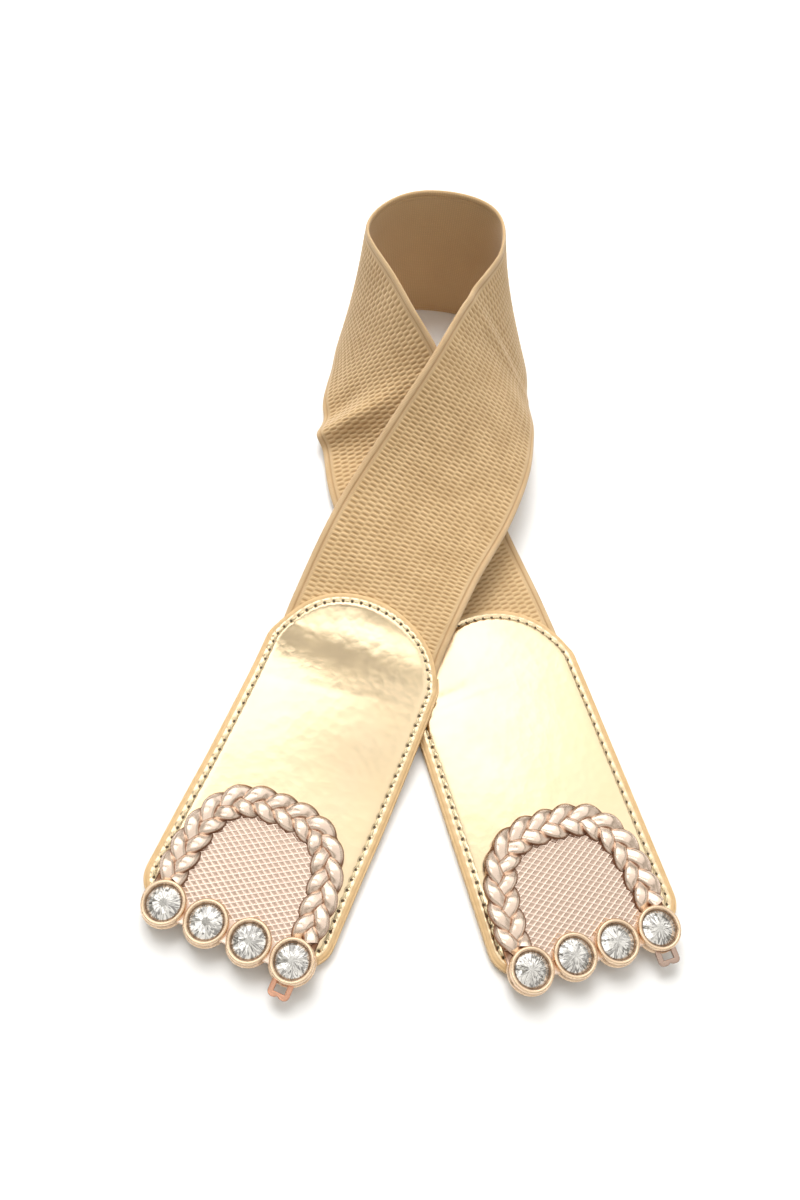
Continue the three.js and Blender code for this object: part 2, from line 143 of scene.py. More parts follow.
PLATE_FOOT = 2.0
PLATE_MIDDLE = (0.0, 18.0)
WEB_BAR = (7.4, 1.9, 0.5)  # bar between the bezels: width, height, corner
EYE_HALF = 2.7
EYE_LOW = -10.5
EYE_HIGH = -4.6
EYE_CORNER = 0.7
EYE_BAR = (1.8, 1.4, 0.3)
EYE_MIDDLE = 0.78
NOTCH_DEPTH = 0.55
HOOK_BAR = (1.25, 4.6, 0.3)
HOOK_STEM = -1.85  # place of the hook's stem up the tab
HOOK_TOP = 0.6
HOOK_LOW = -1.7
HOOK_BEND = 1.0  # radius
HOOK_TIP = -5.4
POST_PLACE = 20.0
POST_SPACING = 24.0
POST_SIDES = 24

# Post and its riveted head: radius, and height over the backing panel's underside
POST_HEAD = (
    (0, 0.1),
    (2.5, 0.1),
    (2.7, 0.4),
    (2.5, 0.8),
    (1.5, 0.85),
)
POST_TOP = 0.6  # from the plate's underside up into it

# Base plate's rings: share of the way in to its middle, and height
PLATE_RINGS = (
    (1, 0),
    (0.5, 0),
    (0.03, 0),
    (0.008, 0.12),
    (0, 0.35),
    (0, 0.95),
    (0.008, 1.2),
    (0.03, 1.3),
    (0.5, 1.3),
    (1, 1.3),
)

# Bezel: radius and height, from the floor of its cup over its rim to its foot
BEZEL_PROFILE = (
    (0, 1.6),
    (5.3, 1.6),
    (5.3, 3.15),
    (5.38, 3.42),
    (5.58, 3.5),
    (5.7, 3.62),
    (5.74, 3.95),
    (5.86, 4.32),
    (6.1, 4.55),
    (6.42, 4.62),
    (6.74, 4.52),
    (6.99, 4.25),
    (7.11, 3.85),
    (7.15, 3.2),
    (7.1, 2.2),
    (6.96, 1.55),
    (7.05, 1.25),
    (7.38, 1.08),
    (7.56, 0.8),
    (7.6, 0.4),
    (7.48, 0.1),
    (7.2, 0),
    (0, 0),
)

# Stone
STONE_TOP = 4.38
STONE_FOOT = 1.9
STONE_RADIUS = 5.25
STONE_JITTER = 0.045  # unevenness of the crown's corners
CROWN_SIDES = 16

# Stone's rings from the table down: radius, height, corners, and turn as a share of a facet
STONE_RINGS = (
    (1.35, STONE_TOP, 8, 0.0),
    (3.4, 3.98, CROWN_SIDES, 0.5),
    (STONE_RADIUS, 3.2, 32, 0.25),
    (5.05, 3.0, 32, 0.25),
    (2.6, STONE_FOOT, 32, 0.25),
)

# Where each tab lies: middle of its stone line in plan, heading from +Y towards -X in degrees, the clasp
# half's shift along the stone line, and the side of the belt's way along that is the tab's own right
TABS = {
    "left": {"x": -35.8, "y": 37.7, "heading": -13.5, "shift": 0.7, "right": -1.0},
    "right": {"x": 80.8, "y": 51.7, "heading": 25.9, "shift": -0.4, "right": 1.0},
}
ROW_STEP = 30.0
CENTRE = (22.8, 170.3)
LEFT_FLAT_ROWS = 2
RIGHT_FLAT_ROWS = 4

# The webbing's middle between the tabs' flat ends: x, y, height, and lean from flat (0) to on edge (90)
STRAND_ROWS = (
    (-24.8, 82.4, 2.2, -0.15),
    (-21.6, 96, 2.65, -0.7),
    (-18.1, 111, 3.8, -2.6),
    (-15, 125, 5.1, -4.1),
    (-12, 139, 7.7, -4),
    (-9, 153, 12, -3),
    (-1, 181, 19, 6),
    (10, 208, 26, 20),
    (18.5, 236, 32, 37),
    (22, 265, 32, 55),
    (24.5, 293, 31, 72),
    (9, 315.2, 30.2, 92),
    (-21.5, 314.1, 30.2, 95),
    (-40.2, 293, 30.2, 84),
    (-31.7, 265, 28.5, 63),
    (-19.5, 239, 21.5, 36),
    (-6, 213, 11, 14),
    (11, 187, 4, 3),
    (27, 161, 2.5, 0),
)

# Soft folds: place along, skew across, half width along, height, middle across, half reach across
FOLDS = (
    (403, -0.1, 5, -2.6, -22, 14),
    (413, -0.1, 4.6, 4.8, -20, 22),
    (429, 0.05, 10, -3.6, -10, 27),
    (226, 0, 9, 1.5, -18, 16),
    (241, -0.05, 2.3, 0.9, 2, 27),
    (246.5, -0.05, 3, -0.8, 4, 24),
)


# Shapes as numpy surfaces

CORNER_SIGNS = ((1, 1), (-1, 1), (-1, -1), (1, -1))  # anticlockwise from the right upper corner


def bell(distance, half_width):
    """Smooth hump: e to the minus square of distance over half width."""
    return np.exp(-((distance / half_width) ** 2))


def smoothstep(value, low, high):
    """0 below low, 1 above high, and the cubic 3t^2 - 2t^3 between them."""
    share = np.clip((np.asarray(value, float) - low) / (high - low), 0, 1)
    return share * share * (3 - 2 * share)


def catmull_rom(rows, steps):
    """Uniform Catmull-Rom curve through the rows, with one more row drawn out straight at each end."""
    drawn = np.vstack([2 * rows[0] - rows[1], rows, 2 * rows[-1] - rows[-2]])
    t = np.linspace(0, 1, steps, endpoint=False)[None, :, None]
    a, b, c, d = (drawn[k : len(drawn) - 3 + k, None, :] for k in range(4))
    curve = 2 * b + (c - a) * t + (2 * a - 5 * b + 4 * c - d) * t**2 + (3 * b - a - 3 * c + d) * t**3
    return np.vstack([(curve / 2).reshape(-1, rows.shape[1]), rows[-1:]])


class BeltLine:
    """The webbing's middle line and lean, as functions of the distance along it from the left stone
    line."""

    SPACING = 0.5
    SOFTENING = 5.0  # half width of the window that evens out the line's curvature

    def __init__(self):
        curve = catmull_rom(self.rows(), 80)
        lengths = np.linalg.norm(np.diff(curve[:, :3], axis=0), axis=1)
        travelled = np.concatenate([[0], np.cumsum(lengths)])
        self.length = float(travelled[-1])
        self.along = np.linspace(0, self.length, int(self.length / self.SPACING))
        even = np.stack([np.interp(self.along, travelled, column) for column in curve.T], -1)
        soft = self.softened(even)
        self.middle = soft[:, :3]
        self.forward = self.unit(np.gradient(self.middle, axis=0))
        left = self.unit(np.cross([0.0, 0.0, 1.0], self.forward))
        up = np.cross(self.forward, left)
        lean = np.radians(soft[:, 3:])
        self.side = np.cos(lean) * left + np.sin(lean) * up
        self.outward = np.cross(self.forward, self.side)

    @staticmethod
    def rows():
        """All rows: a straight run up the left tab, the strand table, and a straight run down the
        right tab."""

        def flat(tab, count):
            turn = math.radians(tab["heading"])
            step = np.arange(count)[:, None] * ROW_STEP
            start = np.array([tab["x"], tab["y"], TAB_MIDDLE, 0.0])
            return start + step * np.array([-math.sin(turn), math.cos(turn), 0.0, 0.0])

        rows = [flat(TABS["left"], LEFT_FLAT_ROWS), np.array(STRAND_ROWS, float)]
        rows.append(flat(TABS["right"], RIGHT_FLAT_ROWS)[::-1])
        return np.vstack(rows) - np.array([*CENTRE, 0.0, 0.0])

    def softened(self, values):
        """Each value averaged with its neighbours under a bell, with the ends drawn out straight first."""
        reach = int(3 * self.SOFTENING / self.SPACING)
        weights = bell(np.arange(-reach, reach + 1) * self.SPACING, self.SOFTENING)
        weights /= weights.sum()
        steps = np.arange(1, reach + 1)[:, None]
        before = values[0] - steps[::-1] * (values[1] - values[0])
        after = values[-1] + steps * (values[-1] - values[-2])
        drawn = np.vstack([before, values, after])
        return np.stack([np.convolve(column, weights, "valid") for column in drawn.T], -1)

    @staticmethod
    def unit(vectors):
        return vectors / np.linalg.norm(vectors, axis=-1, keepdims=True)

    def at(self, along, across, out):
        """Points at a distance along, across to the left and out of the outer face; the three
        broadcast together."""
        along, across, out = np.broadcast_arrays(along, across, out)

        def look_up(table):
            return np.stack([np.interp(along, self.along, column) for column in table.T], -1)

        lift = look_up(self.middle)
        return lift + across[..., None] * look_up(self.side) + out[..., None] * look_up(self.outward)


BELT = BeltLine()


def fold_height(along, across):
    """Sum of the folds: each a bell along the belt, skewed across it, times a bell across it."""
    total = np.zeros(np.broadcast(along, across).shape)
    for place, skew, width, height, middle, reach in FOLDS:
        distance = along - place - skew * across
        total = total + height * bell(distance, width) * bell(across - middle, reach)
    return total


class Shell:
    """Points in millimetres with their faces, texture places, one mask value each, and a finish
    number per face."""

    def __init__(self, points, faces, uv=None, mask=None, finish=None):
        self.points = np.asarray(points, float).reshape(-1, 3)
        self.faces = [np.asarray(group, int) for group in faces]
        count = len(self.points)
        self.uv = np.zeros((count, 2)) if uv is None else np.asarray(uv, float).reshape(-1, 2)
        self.mask = np.zeros(count) if mask is None else np.asarray(mask, float).reshape(-1)
        self.finish = [np.zeros(len(group), int) for group in self.faces] if finish is None else finish

    def volume(self):
        """Signed volume: a sixth of the sum of the triple products over a fan of each face."""
        total = 0.0
        for group in self.faces:
            for k in range(1, group.shape[1] - 1):
                a, b, c = (self.points[group[:, n]] for n in (0, k, k + 1))
                total += float((a * np.cross(b, c)).sum()) / 6
        return total

    def outward(self):
        """The same shell with its faces turned so that its volume is positive."""
        if self.volume() < 0:
            self.faces = [group[:, ::-1] for group in self.faces]
        return self

    def moved(self, points):
        return Shell(points, self.faces, self.uv, self.mask, self.finish)


def joined(shells):
    """One shell of several, each still closed by itself."""
    offsets = np.cumsum([0] + [len(shell.points) for shell in shells[:-1]])
    faces = [group + offset for shell, offset in zip(shells, offsets) for group in shell.faces]
    finish = [group for shell in shells for group in shell.finish]
    points, uv = (np.vstack([getattr(shell, name) for shell in shells]) for name in ("points", "uv"))
    return Shell(points, faces, uv, np.concatenate([shell.mask for shell in shells]), finish)


def grid_quads(rows, columns, around_rows=False, around_columns=False):
    """Quads of a grid of rows by columns, closed on itself where asked."""
    i = np.arange(rows if around_rows else rows - 1)[:, None]
    j = np.arange(columns if around_columns else columns - 1)[None, :]
    corners = ((i, j), (i, j + 1), (i + 1, j + 1), (i + 1, j))
    return np.stack([(a % rows) * columns + b % columns for a, b in corners], -1).reshape(-1, 4)


def loft(sections, uv=None, mask=None, column_finish=None):
    """Closed body: one closed ring of points for each section, joined in order, with a fan over
    each end."""
    rows, columns = sections.shape[:2]
    quads = grid_quads(rows, columns, around_columns=True)
    ring = np.arange(columns)
    turn = (ring + 1) % columns
    hub = np.full(columns, rows * columns)
    last = (rows - 1) * columns
    near = np.stack([turn, ring, hub], -1)
    far = np.stack([last + ring, last + turn, hub + 1], -1)
    points = np.concatenate([sections.reshape(-1, 3), [sections[0].mean(0), sections[-1].mean(0)]])

    def with_hubs(grid):
        """A grid's values for the points, and those of its first and last point for the two hubs."""
        if grid is None:
            return None
        grid = np.asarray(grid, float).reshape(rows * columns, -1)
        return np.vstack([grid, grid[[0, -1]]])

    finish = np.zeros(columns, int) if column_finish is None else column_finish
    cap_finish = np.full(columns, finish[0])
    finishes = [np.tile(finish, rows - 1), cap_finish, cap_finish]
    return Shell(points, [quads, near, far], with_hubs(uv), with_hubs(mask), finishes).outward()


def ring_body(sections):
    """Closed body whose sections, closed rings of points, go round to the first one again."""
    quads = grid_quads(*sections.shape[:2], around_rows=True, around_columns=True)
    return Shell(sections, [quads]).outward()


def welded(shell):
    """Merges points that coincide and drops the faces that this folds up; triangles replace the
    quads that it half folds."""
    keys = np.round(shell.points * 2000).astype(np.int64)
    _, first, inverse = np.unique(keys, axis=0, return_index=True, return_inverse=True)
    inverse = inverse.reshape(-1)
    faces, finishes = [], []
    for group, finish in zip(shell.faces, shell.finish):
        merged = inverse[group]
        same = merged == np.roll(merged, -1, axis=1)
        whole = same.sum(1) == 0
        faces.append(merged[whole])
        finishes.append(finish[whole])
        if group.shape[1] == 4:
            half = same.sum(1) == 1
            kept = merged[half][~same[half]].reshape(-1, 3)
            faces.append(kept)
            finishes.append(finish[half])
    return Shell(shell.points[first], faces, shell.uv[first], shell.mask[first], finishes)


def lathed(profile, sides):
    """Body of revolution about z: profile rows of radius and height that start and end on the axis."""
    radius, height = np.asarray(profile, float).T
    angle = np.linspace(0, 2 * np.pi, sides, endpoint=False)[:, None]
    points = np.stack([radius * np.cos(angle), radius * np.sin(angle), height + 0 * angle], -1)
    return welded(Shell(points, [grid_quads(sides, len(radius), around_rows=True)])).outward()


def rounded_section(width, height, corner):
    """Ring of points of a rectangle with round corners, seen along its path: across and up."""
    corner = min(corner, width / 2 - 1e-3, height / 2 - 1e-3)
    middle = np.array([width / 2 - corner, height / 2 - corner])
    ring = []
    for k, signs in enumerate(CORNER_SIGNS):
        turn = np.radians(np.linspace(0, 90, 5)) + k * math.pi / 2
        ring.append(middle * signs + corner * np.stack([np.cos(turn), np.sin(turn)], -1))
    return np.vstack(ring)


def swept(path, section, up=(0.0, 0.0, 1.0), closed=False):
    """A section carried along a path: its first number goes across the path, its second up."""
    path = np.asarray(path, float)
    if closed:
        forward = np.roll(path, -1, axis=0) - np.roll(path, 1, axis=0)
    else:
        forward = np.gradient(path, axis=0)
    forward = BeltLine.unit(forward)
    side = BeltLine.unit(np.cross(np.asarray(up, float), forward))
    crown = np.cross(forward, side)
    rings = path[:, None] + section[None, :, :1] * side[:, None] + section[None, :, 1:] * crown[:, None]
    return ring_body(rings) if closed else loft(rings)


def add_piece(name, shell, materials, smooth=True, crease=75):
    """Makes the mesh object of a shell, on the root body, with its materials."""
    mesh = bpy.data.meshes.new(name)
    mesh.vertices.add(len(shell.points))
    mesh.vertices.foreach_set("co", (shell.points * MM).astype(np.float32).ravel())
    loops = np.concatenate([group.ravel() for group in shell.faces]).astype(np.int32)
    sizes = np.concatenate([np.full(len(group), group.shape[1]) for group in shell.faces])
    mesh.loops.add(len(loops))
    mesh.loops.foreach_set("vertex_index", loops)
    mesh.polygons.add(len(sizes))
    mesh.polygons.foreach_set("loop_start", (np.cumsum(sizes) - sizes).astype(np.int32))
    mesh.polygons.foreach_set("material_index", np.concatenate(shell.finish).astype(np.int32))
    mesh.polygons.foreach_set("use_smooth", np.full(len(sizes), smooth))
    mesh.update(calc_edges=True)
    layer = mesh.uv_layers.new(name="surface")
    layer.data.foreach_set("uv", shell.uv[loops].astype(np.float32).ravel())
    mask = mesh.attributes.new("mask", "FLOAT", "POINT")
    mask.data.foreach_set("value", shell.mask.astype(np.float32))
    if mesh.validate():
        raise RuntimeError(f"{name} has faces that Blender had to correct")
    if smooth:
        mesh.set_sharp_from_angle(angle=math.radians(crease))
    for material in materials:
        mesh.materials.append(material)
    piece = bpy.data.objects.new(name, mesh)
    bpy.context.scene.collection.objects.link(piece)
    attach(piece, "root")
    return piece


# Webbing


def webbing_section():
    """Ring round the strip's section: places across, heights out, share of the bumps, and finish of
    each column."""
    field = np.linspace(FIELD_HALF, -FIELD_HALF, POINTS_PER_BUMP * FIELD_COLUMNS + 1)
    lining = np.linspace(-FIELD_HALF, FIELD_HALF, LINING_POINTS)
    lip = np.array(SELVEDGE)
    ring = [
        np.stack([field, 0 * field], -1),
        np.stack([-FIELD_HALF - lip[:, 0], lip[:, 1]], -1),
        np.array([[-WEB_HALF, 0.0]]),
        np.stack([-FIELD_HALF - lip[::-1, 0], -lip[::-1, 1]], -1),
        np.stack([lining, np.full(LINING_POINTS, LINING_OUT)], -1),
        np.stack([FIELD_HALF + lip[:, 0], -lip[:, 1]], -1),
        np.array([[WEB_HALF, 0.0]]),
        np.stack([FIELD_HALF + lip[::-1, 0], lip[::-1, 1]], -1),
    ]
    across, out = np.vstack(ring).T
    bumped = np.arange(len(across)) < len(field)
    finish = (np.roll(out, -1) + out < LINING_BELOW).astype(int)
    finish[bumped] = 0
    return across, out, bumped, finish


def bump_relief(along, across, pitch, width):
    """Staggered bumps: a cosine along times a squared-off cosine across, as 1 on crests and 0 in
    narrow pits."""
    cross = np.cos(np.pi * across / width)
    wave = np.cos(2 * np.pi * along / pitch) * np.sign(cross) * np.abs(cross) ** BUMP_SQUARENESS
    return 1 - ((1 - wave) / 2) ** PIT_NARROWNESS


def webbing_half(settings, start, end, fine_from, fine_to):
    """Half of the strip: rows close together where it shows and far apart inside its tab."""
    step = settings.bump_pitch / ROWS_PER_BUMP
    fine = np.arange(math.ceil(fine_from / step), math.floor(fine_to / step) + 1) * step
    before = np.linspace(start, fine[0], max(2, int((fine[0] - start) / HIDDEN_STEP)), endpoint=False)
    after = np.linspace(fine[-1], end, max(2, int((end - fine[-1]) / HIDDEN_STEP)))[1:]
    along = np.concatenate([before, fine, after])[:, None]
    across, out, bumped, finish = webbing_section()
    width = 2 * FIELD_HALF / FIELD_COLUMNS
    relief = bump_relief(along, across[None], settings.bump_pitch, width)
    uneven = np.random.default_rng(11).uniform(*UNEVEN_DEPTH, (64, 4096))
    column = np.round(across[None] / width).astype(int) % uneven.shape[0]
    row = np.round(along / settings.bump_pitch + (column % 2) / 2).astype(int) % uneven.shape[1]
    free = smoothstep(np.minimum(along, BELT.length - along), PRESSED_FROM, FREE_FROM)
    depth = settings.bump_depth * (PRESSED_SHARE + (1 - PRESSED_SHARE) * free) * uneven[column, row]
    height = np.where(bumped[None], CREST_OUT - depth * (1 - relief), out[None])
    points = BELT.at(along, across[None], height + fold_height(along, across[None]))
    # The mask paints shade: dark in the pits where the relief is low, and a dark line in the selvedge's
    # groove.
    groove = bell(np.abs(across) - FIELD_HALF - SELVEDGE_GROOVE, 0.4) * (out > 0)
    mask = np.where(bumped[None], relief, 0.9 - 0.6 * groove + 0 * along)
    places = np.broadcast_arrays(across[None] * PLACE_SCALE, along * PLACE_SCALE)
    return loft(points, np.stack(places, -1), mask, finish)


def make_webbing(settings):
    """Two halves of the strip that meet in the middle of the loop; making the first one hides the
    imported webbing."""
    half = BELT.length / 2
    materials = [webbing_material(settings), lining_material(settings)]
    ranges = {
        "webbing_left": (WEB_END, half, HIDDEN_WEB, half),
        "webbing_right": (half, BELT.length - WEB_END, half, BELT.length - HIDDEN_WEB),
    }
    for name, (start, end, fine_from, fine_to) in ranges.items():
        shell = webbing_half(settings, start, end, fine_from, fine_to)
        piece = add_piece(name, shell, materials)
        if name == "webbing_left":
            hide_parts("webbing")


# End tabs


def tab_outline(count):
    """Closed outline of a tab, anticlockwise from the middle of its lower edge, in even steps: a
    straight foot, round corners, straight sides and an elliptic arch with eased shoulders."""
    turn = np.radians(np.linspace(0, 90, 80))
    spring = TAB_LENGTH - TAB_ARCH
    flat = TAB_HALF - TAB_CORNER
    corner = np.stack([flat + TAB_CORNER * np.sin(turn), TAB_CORNER * (1 - np.cos(turn))], -1)
    rise = np.sin(turn)
    width = TAB_HALF - TAB_SHOULDER * smoothstep(rise, 0, SHOULDER_RISE)
    arch = np.stack([width * np.cos(turn), spring + TAB_ARCH * rise], -1)
    half = np.vstack([[[0.0, 0.0]], corner, arch])
    lengths = np.concatenate([[0], np.cumsum(np.linalg.norm(np.diff(half, axis=0), axis=1))])
    places = np.linspace(0, lengths[-1], count // 2 + 1)
    right = np.stack([np.interp(places, lengths, column) for column in half.T], -1)
    return np.vstack([right, right[-2:0:-1] * [-1, 1]])


def inset_points(outline, insets):
    """Rings inside an outline: each point goes the inset's distance towards the tab's middle
    segment. An inset past REST is REST plus a share, from 0 to 1, of the rest of the way from the
    furthest plain inset."""
    spine = np.stack([np.zeros(len(outline)), np.clip(outline[:, 1], *TAB_SPINE)], -1)
    reach = np.linalg.norm(spine - outline, axis=1)[:, None]
    insets = np.asarray(insets, float)[None]
    last = insets[insets < REST].max()
    distance = np.where(insets < REST, insets, last + (reach - last) * (insets - REST))
    return outline[:, None] + (spine - outline)[:, None] * (distance / reach)[..., None], distance


def on_tab(side, place, out):
    """Maps places on a tab (to its right, up it) and heights out of the webbing's middle into the
    belt's frame."""
    tab = TABS[side]
    along = place[..., 1] if side == "left" else BELT.length - place[..., 1]
    return BELT.at(along, tab["right"] * place[..., 0], out)


def pinch_of(outline):
    """1 round a tab's sides and foot, where its panels meet, and 0 along its arch, where the
    webbing comes out."""
    over_arch = smoothstep(outline[:, 1], TAB_LENGTH - TAB_ARCH + 3, TAB_LENGTH - TAB_ARCH + 8)
    return (1 - over_arch)[:, None]


# Creases of the front panels: place up the tab, rise for each mm to its right, half width, depth, and the
# places to its right where the crease has gone and where it is still full
CREASES = {
    "left": ((108.5, 0.1, 1.0, 0.06, 30, 10), (88, 0.16, 1.6, 0.05, 30, 0)),
    "right": ((98, 0.14, 1.9, 0.26, 14, -6), (93, 0.1, 1.4, 0.1, 4, -12)),
}

# Rings inside a tab's outline, by how far in they lie; past REST they share out the rest of the way
REST = 100.0
RIM_RINGS = (0, 0.12, 0.3, 0.55, 0.85, 1.2, 1.55, 1.9, 2.2, 2.5, 2.75, 3, 3.25, 3.55, 3.9, 4.4, 5.2, 6.5)
INNER_RINGS = tuple(REST + share for share in (0.1, 0.22, 0.36, 0.52, 0.68, 0.84, 1.0))
FRONT_UNDER_RINGS = (0.0, 0.6, 1.6, 2.6, 3.6, 6.0, REST + 0.5, REST + 1)
BACK_FACE_RINGS = (0.0, 0.15, 0.5, 1.0, 1.8, 3.0, 5.0, REST + 0.3, REST + 0.65, REST + 1)
BACK_UPPER_RINGS = (0.0, 1.2, 2.4, 3.4, 6.0, REST + 0.5, REST + 1)


def stitch_wave(outline, pitch):
    """Phase of the stitching round the outline, with a whole number of stitches: 0 at each hole."""
    lengths = np.linalg.norm(np.roll(outline, -1, axis=0) - outline, axis=1)
    travelled = np.concatenate([[0], np.cumsum(lengths)])
    whole = round(travelled[-1] / pitch)
    return travelled[:-1] / travelled[-1] * whole, whole


def front_panel(side, settings):
    """Front panel of a tab: face height less the rounded and pinched rim, the stitched groove and
    its holes."""
    outline = tab_outline(OUTLINE_POINTS)
    top = RIM_RINGS + INNER_RINGS
    place, distance = inset_points(outline, top[::-1] + FRONT_UNDER_RINGS)
    count = len(top)
    pinch = pinch_of(outline)
    face = distance[:, :count]
    wave, _ = stitch_wave(outline, settings.stitch_pitch)
    hole = bell(np.sin(np.pi * wave), 0.45)[:, None]
    near = bell(face - STITCH_INSET, 0.5)
    pucker = bell(face - 1.5, 0.9) * (0.5 + 0.5 * np.cos(2 * np.pi * wave))[:, None]
    out = FRONT_FACE - RIM_PINCH * pinch * (1 - smoothstep(face, 0, PINCH_REACH))
    out = out - RIM_DROP * (1 - smoothstep(face, 0, 0.7)) - GROOVE_DEPTH * bell(face - STITCH_INSET, 0.7)
    out = out - HOLE_DEPTH * hole * near - PUCKER_DEPTH * pucker
    for up, skew, width, depth, gone, full in CREASES[side]:
        across, along = place[:, :count, 0], place[:, :count, 1]
        out = out - depth * bell(along - up - skew * across, width) * (1 - smoothstep(across, full, gone))
    below = distance[:, count:]
    inside = smoothstep(below, 2.0, 3.2)
    edge = PANEL_GAP * pinch + FRONT_OVER_WEB * (1 - pinch)
    lower = edge + (PANEL_INNER - edge) * inside
    heights = np.concatenate([out, lower], 1)
    # the mask paints shadow into the thread holes
    mask = np.concatenate([hole * near, 0 * lower], 1)
    finish = np.zeros(heights.shape[1], int)
    finish[count - 1 - np.searchsorted(top, PAINT_WIDTH) :] = 1
    body = Shell(
        on_tab(side, place, heights),
        [grid_quads(*heights.shape, around_rows=True)],
        place * PLACE_SCALE,
        mask,
        [np.tile(finish[:-1], len(outline))],
    )
    return welded(body).outward()


def back_panel(side):
    """Backing panel of a tab: flat underside with a rounded rim, pinched up where it meets the
    front panel."""
    outline = tab_outline(400)
    place, distance = inset_points(outline, BACK_FACE_RINGS[::-1] + BACK_UPPER_RINGS)
    count = len(BACK_FACE_RINGS)
    pinch = pinch_of(outline)
    face = distance[:, :count]
    low = BACK_FACE + BACK_PINCH * pinch * (1 - smoothstep(face, 0, 4.0))
    low = low + BACK_ROUND * (1 - smoothstep(face, 0, 0.6))
    inside = smoothstep(distance[:, count:], 2.0, 3.0)
    edge = -PANEL_GAP * pinch - BACK_UNDER_WEB * (1 - pinch)
    high = edge + (-PANEL_INNER - edge) * inside
    heights = np.concatenate([low, high], 1)
    finish = np.zeros(heights.shape[1], int)
    finish[count - 2 :] = 1
    body = Shell(
        on_tab(side, place, heights),
        [grid_quads(*heights.shape, around_rows=True)],
        place * PLACE_SCALE,
        None,
        [np.tile(finish[:-1], len(outline))],
    )
    return welded(body).outward()


def edge_band(side):
    """Painted edge: a flat rounded band along the sides and foot of a tab, over the join of its panels."""
    outline = tab_outline(800)
    start = int(np.argmax(outline[:, 1]))
    order = np.roll(np.arange(len(outline)), -start)
    open_part = order[outline[order, 1] < TAB_LENGTH - TAB_ARCH + 7]
    path = outline[open_part]
    forward = BeltLine.unit(np.gradient(path, axis=0))
    outwards = np.stack([forward[:, 1], -forward[:, 0]], -1)
    section = rounded_section(*BAND_BAR)
    step = np.arange(len(path))
    taper = smoothstep(np.minimum(step, step[::-1]), -1, 18)[:, None]
    place = path[:, None] + outwards[:, None] * (section[None, :, :1] + BAND_OUT)
    return loft(on_tab(side, place, section[None, :, 1] * taper - 0.02))


def thread_stitches(side, settings):
    """One short arched thread between each two holes of the stitched line, with its ends sunk in them."""
    outline = tab_outline(OUTLINE_POINTS)
    wave, whole = stitch_wave(outline, settings.stitch_pitch)
    line, _ = inset_points(outline, [STITCH_INSET])
    line = line[:, 0]
    share = np.linspace(0.17, 0.83, 7)
    run = (share - share[0]) / (share[-1] - share[0])
    phase = (np.arange(whole)[:, None] + share[None]) % whole
    closed_wave = np.append(wave, whole)
    closed_line = np.vstack([line, line[:1]])
    place = np.stack([np.interp(phase, closed_wave, column) for column in closed_line.T], -1)
    forward = BeltLine.unit(np.gradient(place, axis=1))
    side_way = np.stack([forward[..., 1], -forward[..., 0]], -1)
    angle = np.linspace(0, 2 * np.pi, 8, endpoint=False)
    swell = (1 - (2 * run - 1) ** 4) * 0.7 + 0.3
    radius = settings.thread_width / 2 * swell[None, :, None]
    across = radius * np.cos(angle)[None, None] + 0 * phase[..., None]
    lift = radius * 0.8 * np.sin(angle)[None, None]
    pinch = pinch_of(outline)[:, 0]
    pinch = np.interp(phase, closed_wave, np.append(pinch, pinch[0]))
    ground = FRONT_FACE - GROOVE_DEPTH - RIM_PINCH * pinch * (1 - smoothstep(STITCH_INSET, 0, PINCH_REACH))
    bow = 0.3 * np.sin(np.pi * run)[None] - 0.18
    spots = place[:, :, None] + across[..., None] * side_way[:, :, None]
    points = on_tab(side, spots, (ground + bow)[..., None] + lift)
    return joined([loft(stitch) for stitch in points])


def make_tab_panels(settings):
    materials = [gold_material(settings), edge_material(settings)]
    for side in TABS:
        piece = add_piece(f"front_{side}", front_panel(side, settings), materials, crease=50)
        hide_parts(f"tab_front_{side}")


def make_tab_backings(settings):
    materials = [backing_material(settings), edge_material(settings)]
    for side in TABS:
        piece = add_piece(f"backing_{side}", back_panel(side), materials, crease=50)
        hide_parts(f"tab_back_{side}")


def make_tab_edges(settings):
    material = edge_material(settings)
    for side in TABS:
        add_piece(f"edge_{side}", edge_band(side), [material], crease=60)


def make_stitches(settings):
    material = thread_material(settings)
    for side in TABS:
        add_piece(f"stitches_{side}", thread_stitches(side, settings), [material])


# Clasp halves


def on_clasp(side, shell):
    """Turns a shape of the clasp's own frame onto its tab."""
    tab = TABS[side]
    turn = math.radians(tab["heading"])
    x = shell.points[:, 0] + tab["shift"]
    y = shell.points[:, 1]
    east = x * math.cos(turn) - y * math.sin(turn) + tab["x"] - CENTRE[0]
    north = x * math.sin(turn) + y * math.cos(turn) + tab["y"] - CENTRE[1]
    return shell.moved(np.stack([east, north, shell.points[:, 2] + CLASP_HEIGHT], -1))


def stone_places():
    return (np.arange(STONE_COUNT) - (STONE_COUNT - 1) / 2) * STONE_PITCH


def arch_curve(share, grow):
    """Superellipse arch: 0 at its left foot, 1 at its right foot, grown outwards by a distance."""
    angle = np.pi * (1 - np.asarray(share, float))

    def bulge(value):
        return np.sign(value) * np.abs(value) ** (2 / ARCH_POWER)

    x = ARCH_SHIFT + (ARCH_HALF + grow) * bulge(np.cos(angle))
    return np.stack([x, ARCH_FOOT + (ARCH_HEIGHT + grow) * bulge(np.sin(angle))], -1)


def even_steps(points, count):
    """The same line with its points at even distances."""
    lengths = np.concatenate([[0], np.cumsum(np.linalg.norm(np.diff(points, axis=0), axis=1))])
    places = np.linspace(0, lengths[-1], count)
    return np.stack([np.interp(places, lengths, column) for column in points.T], -1)


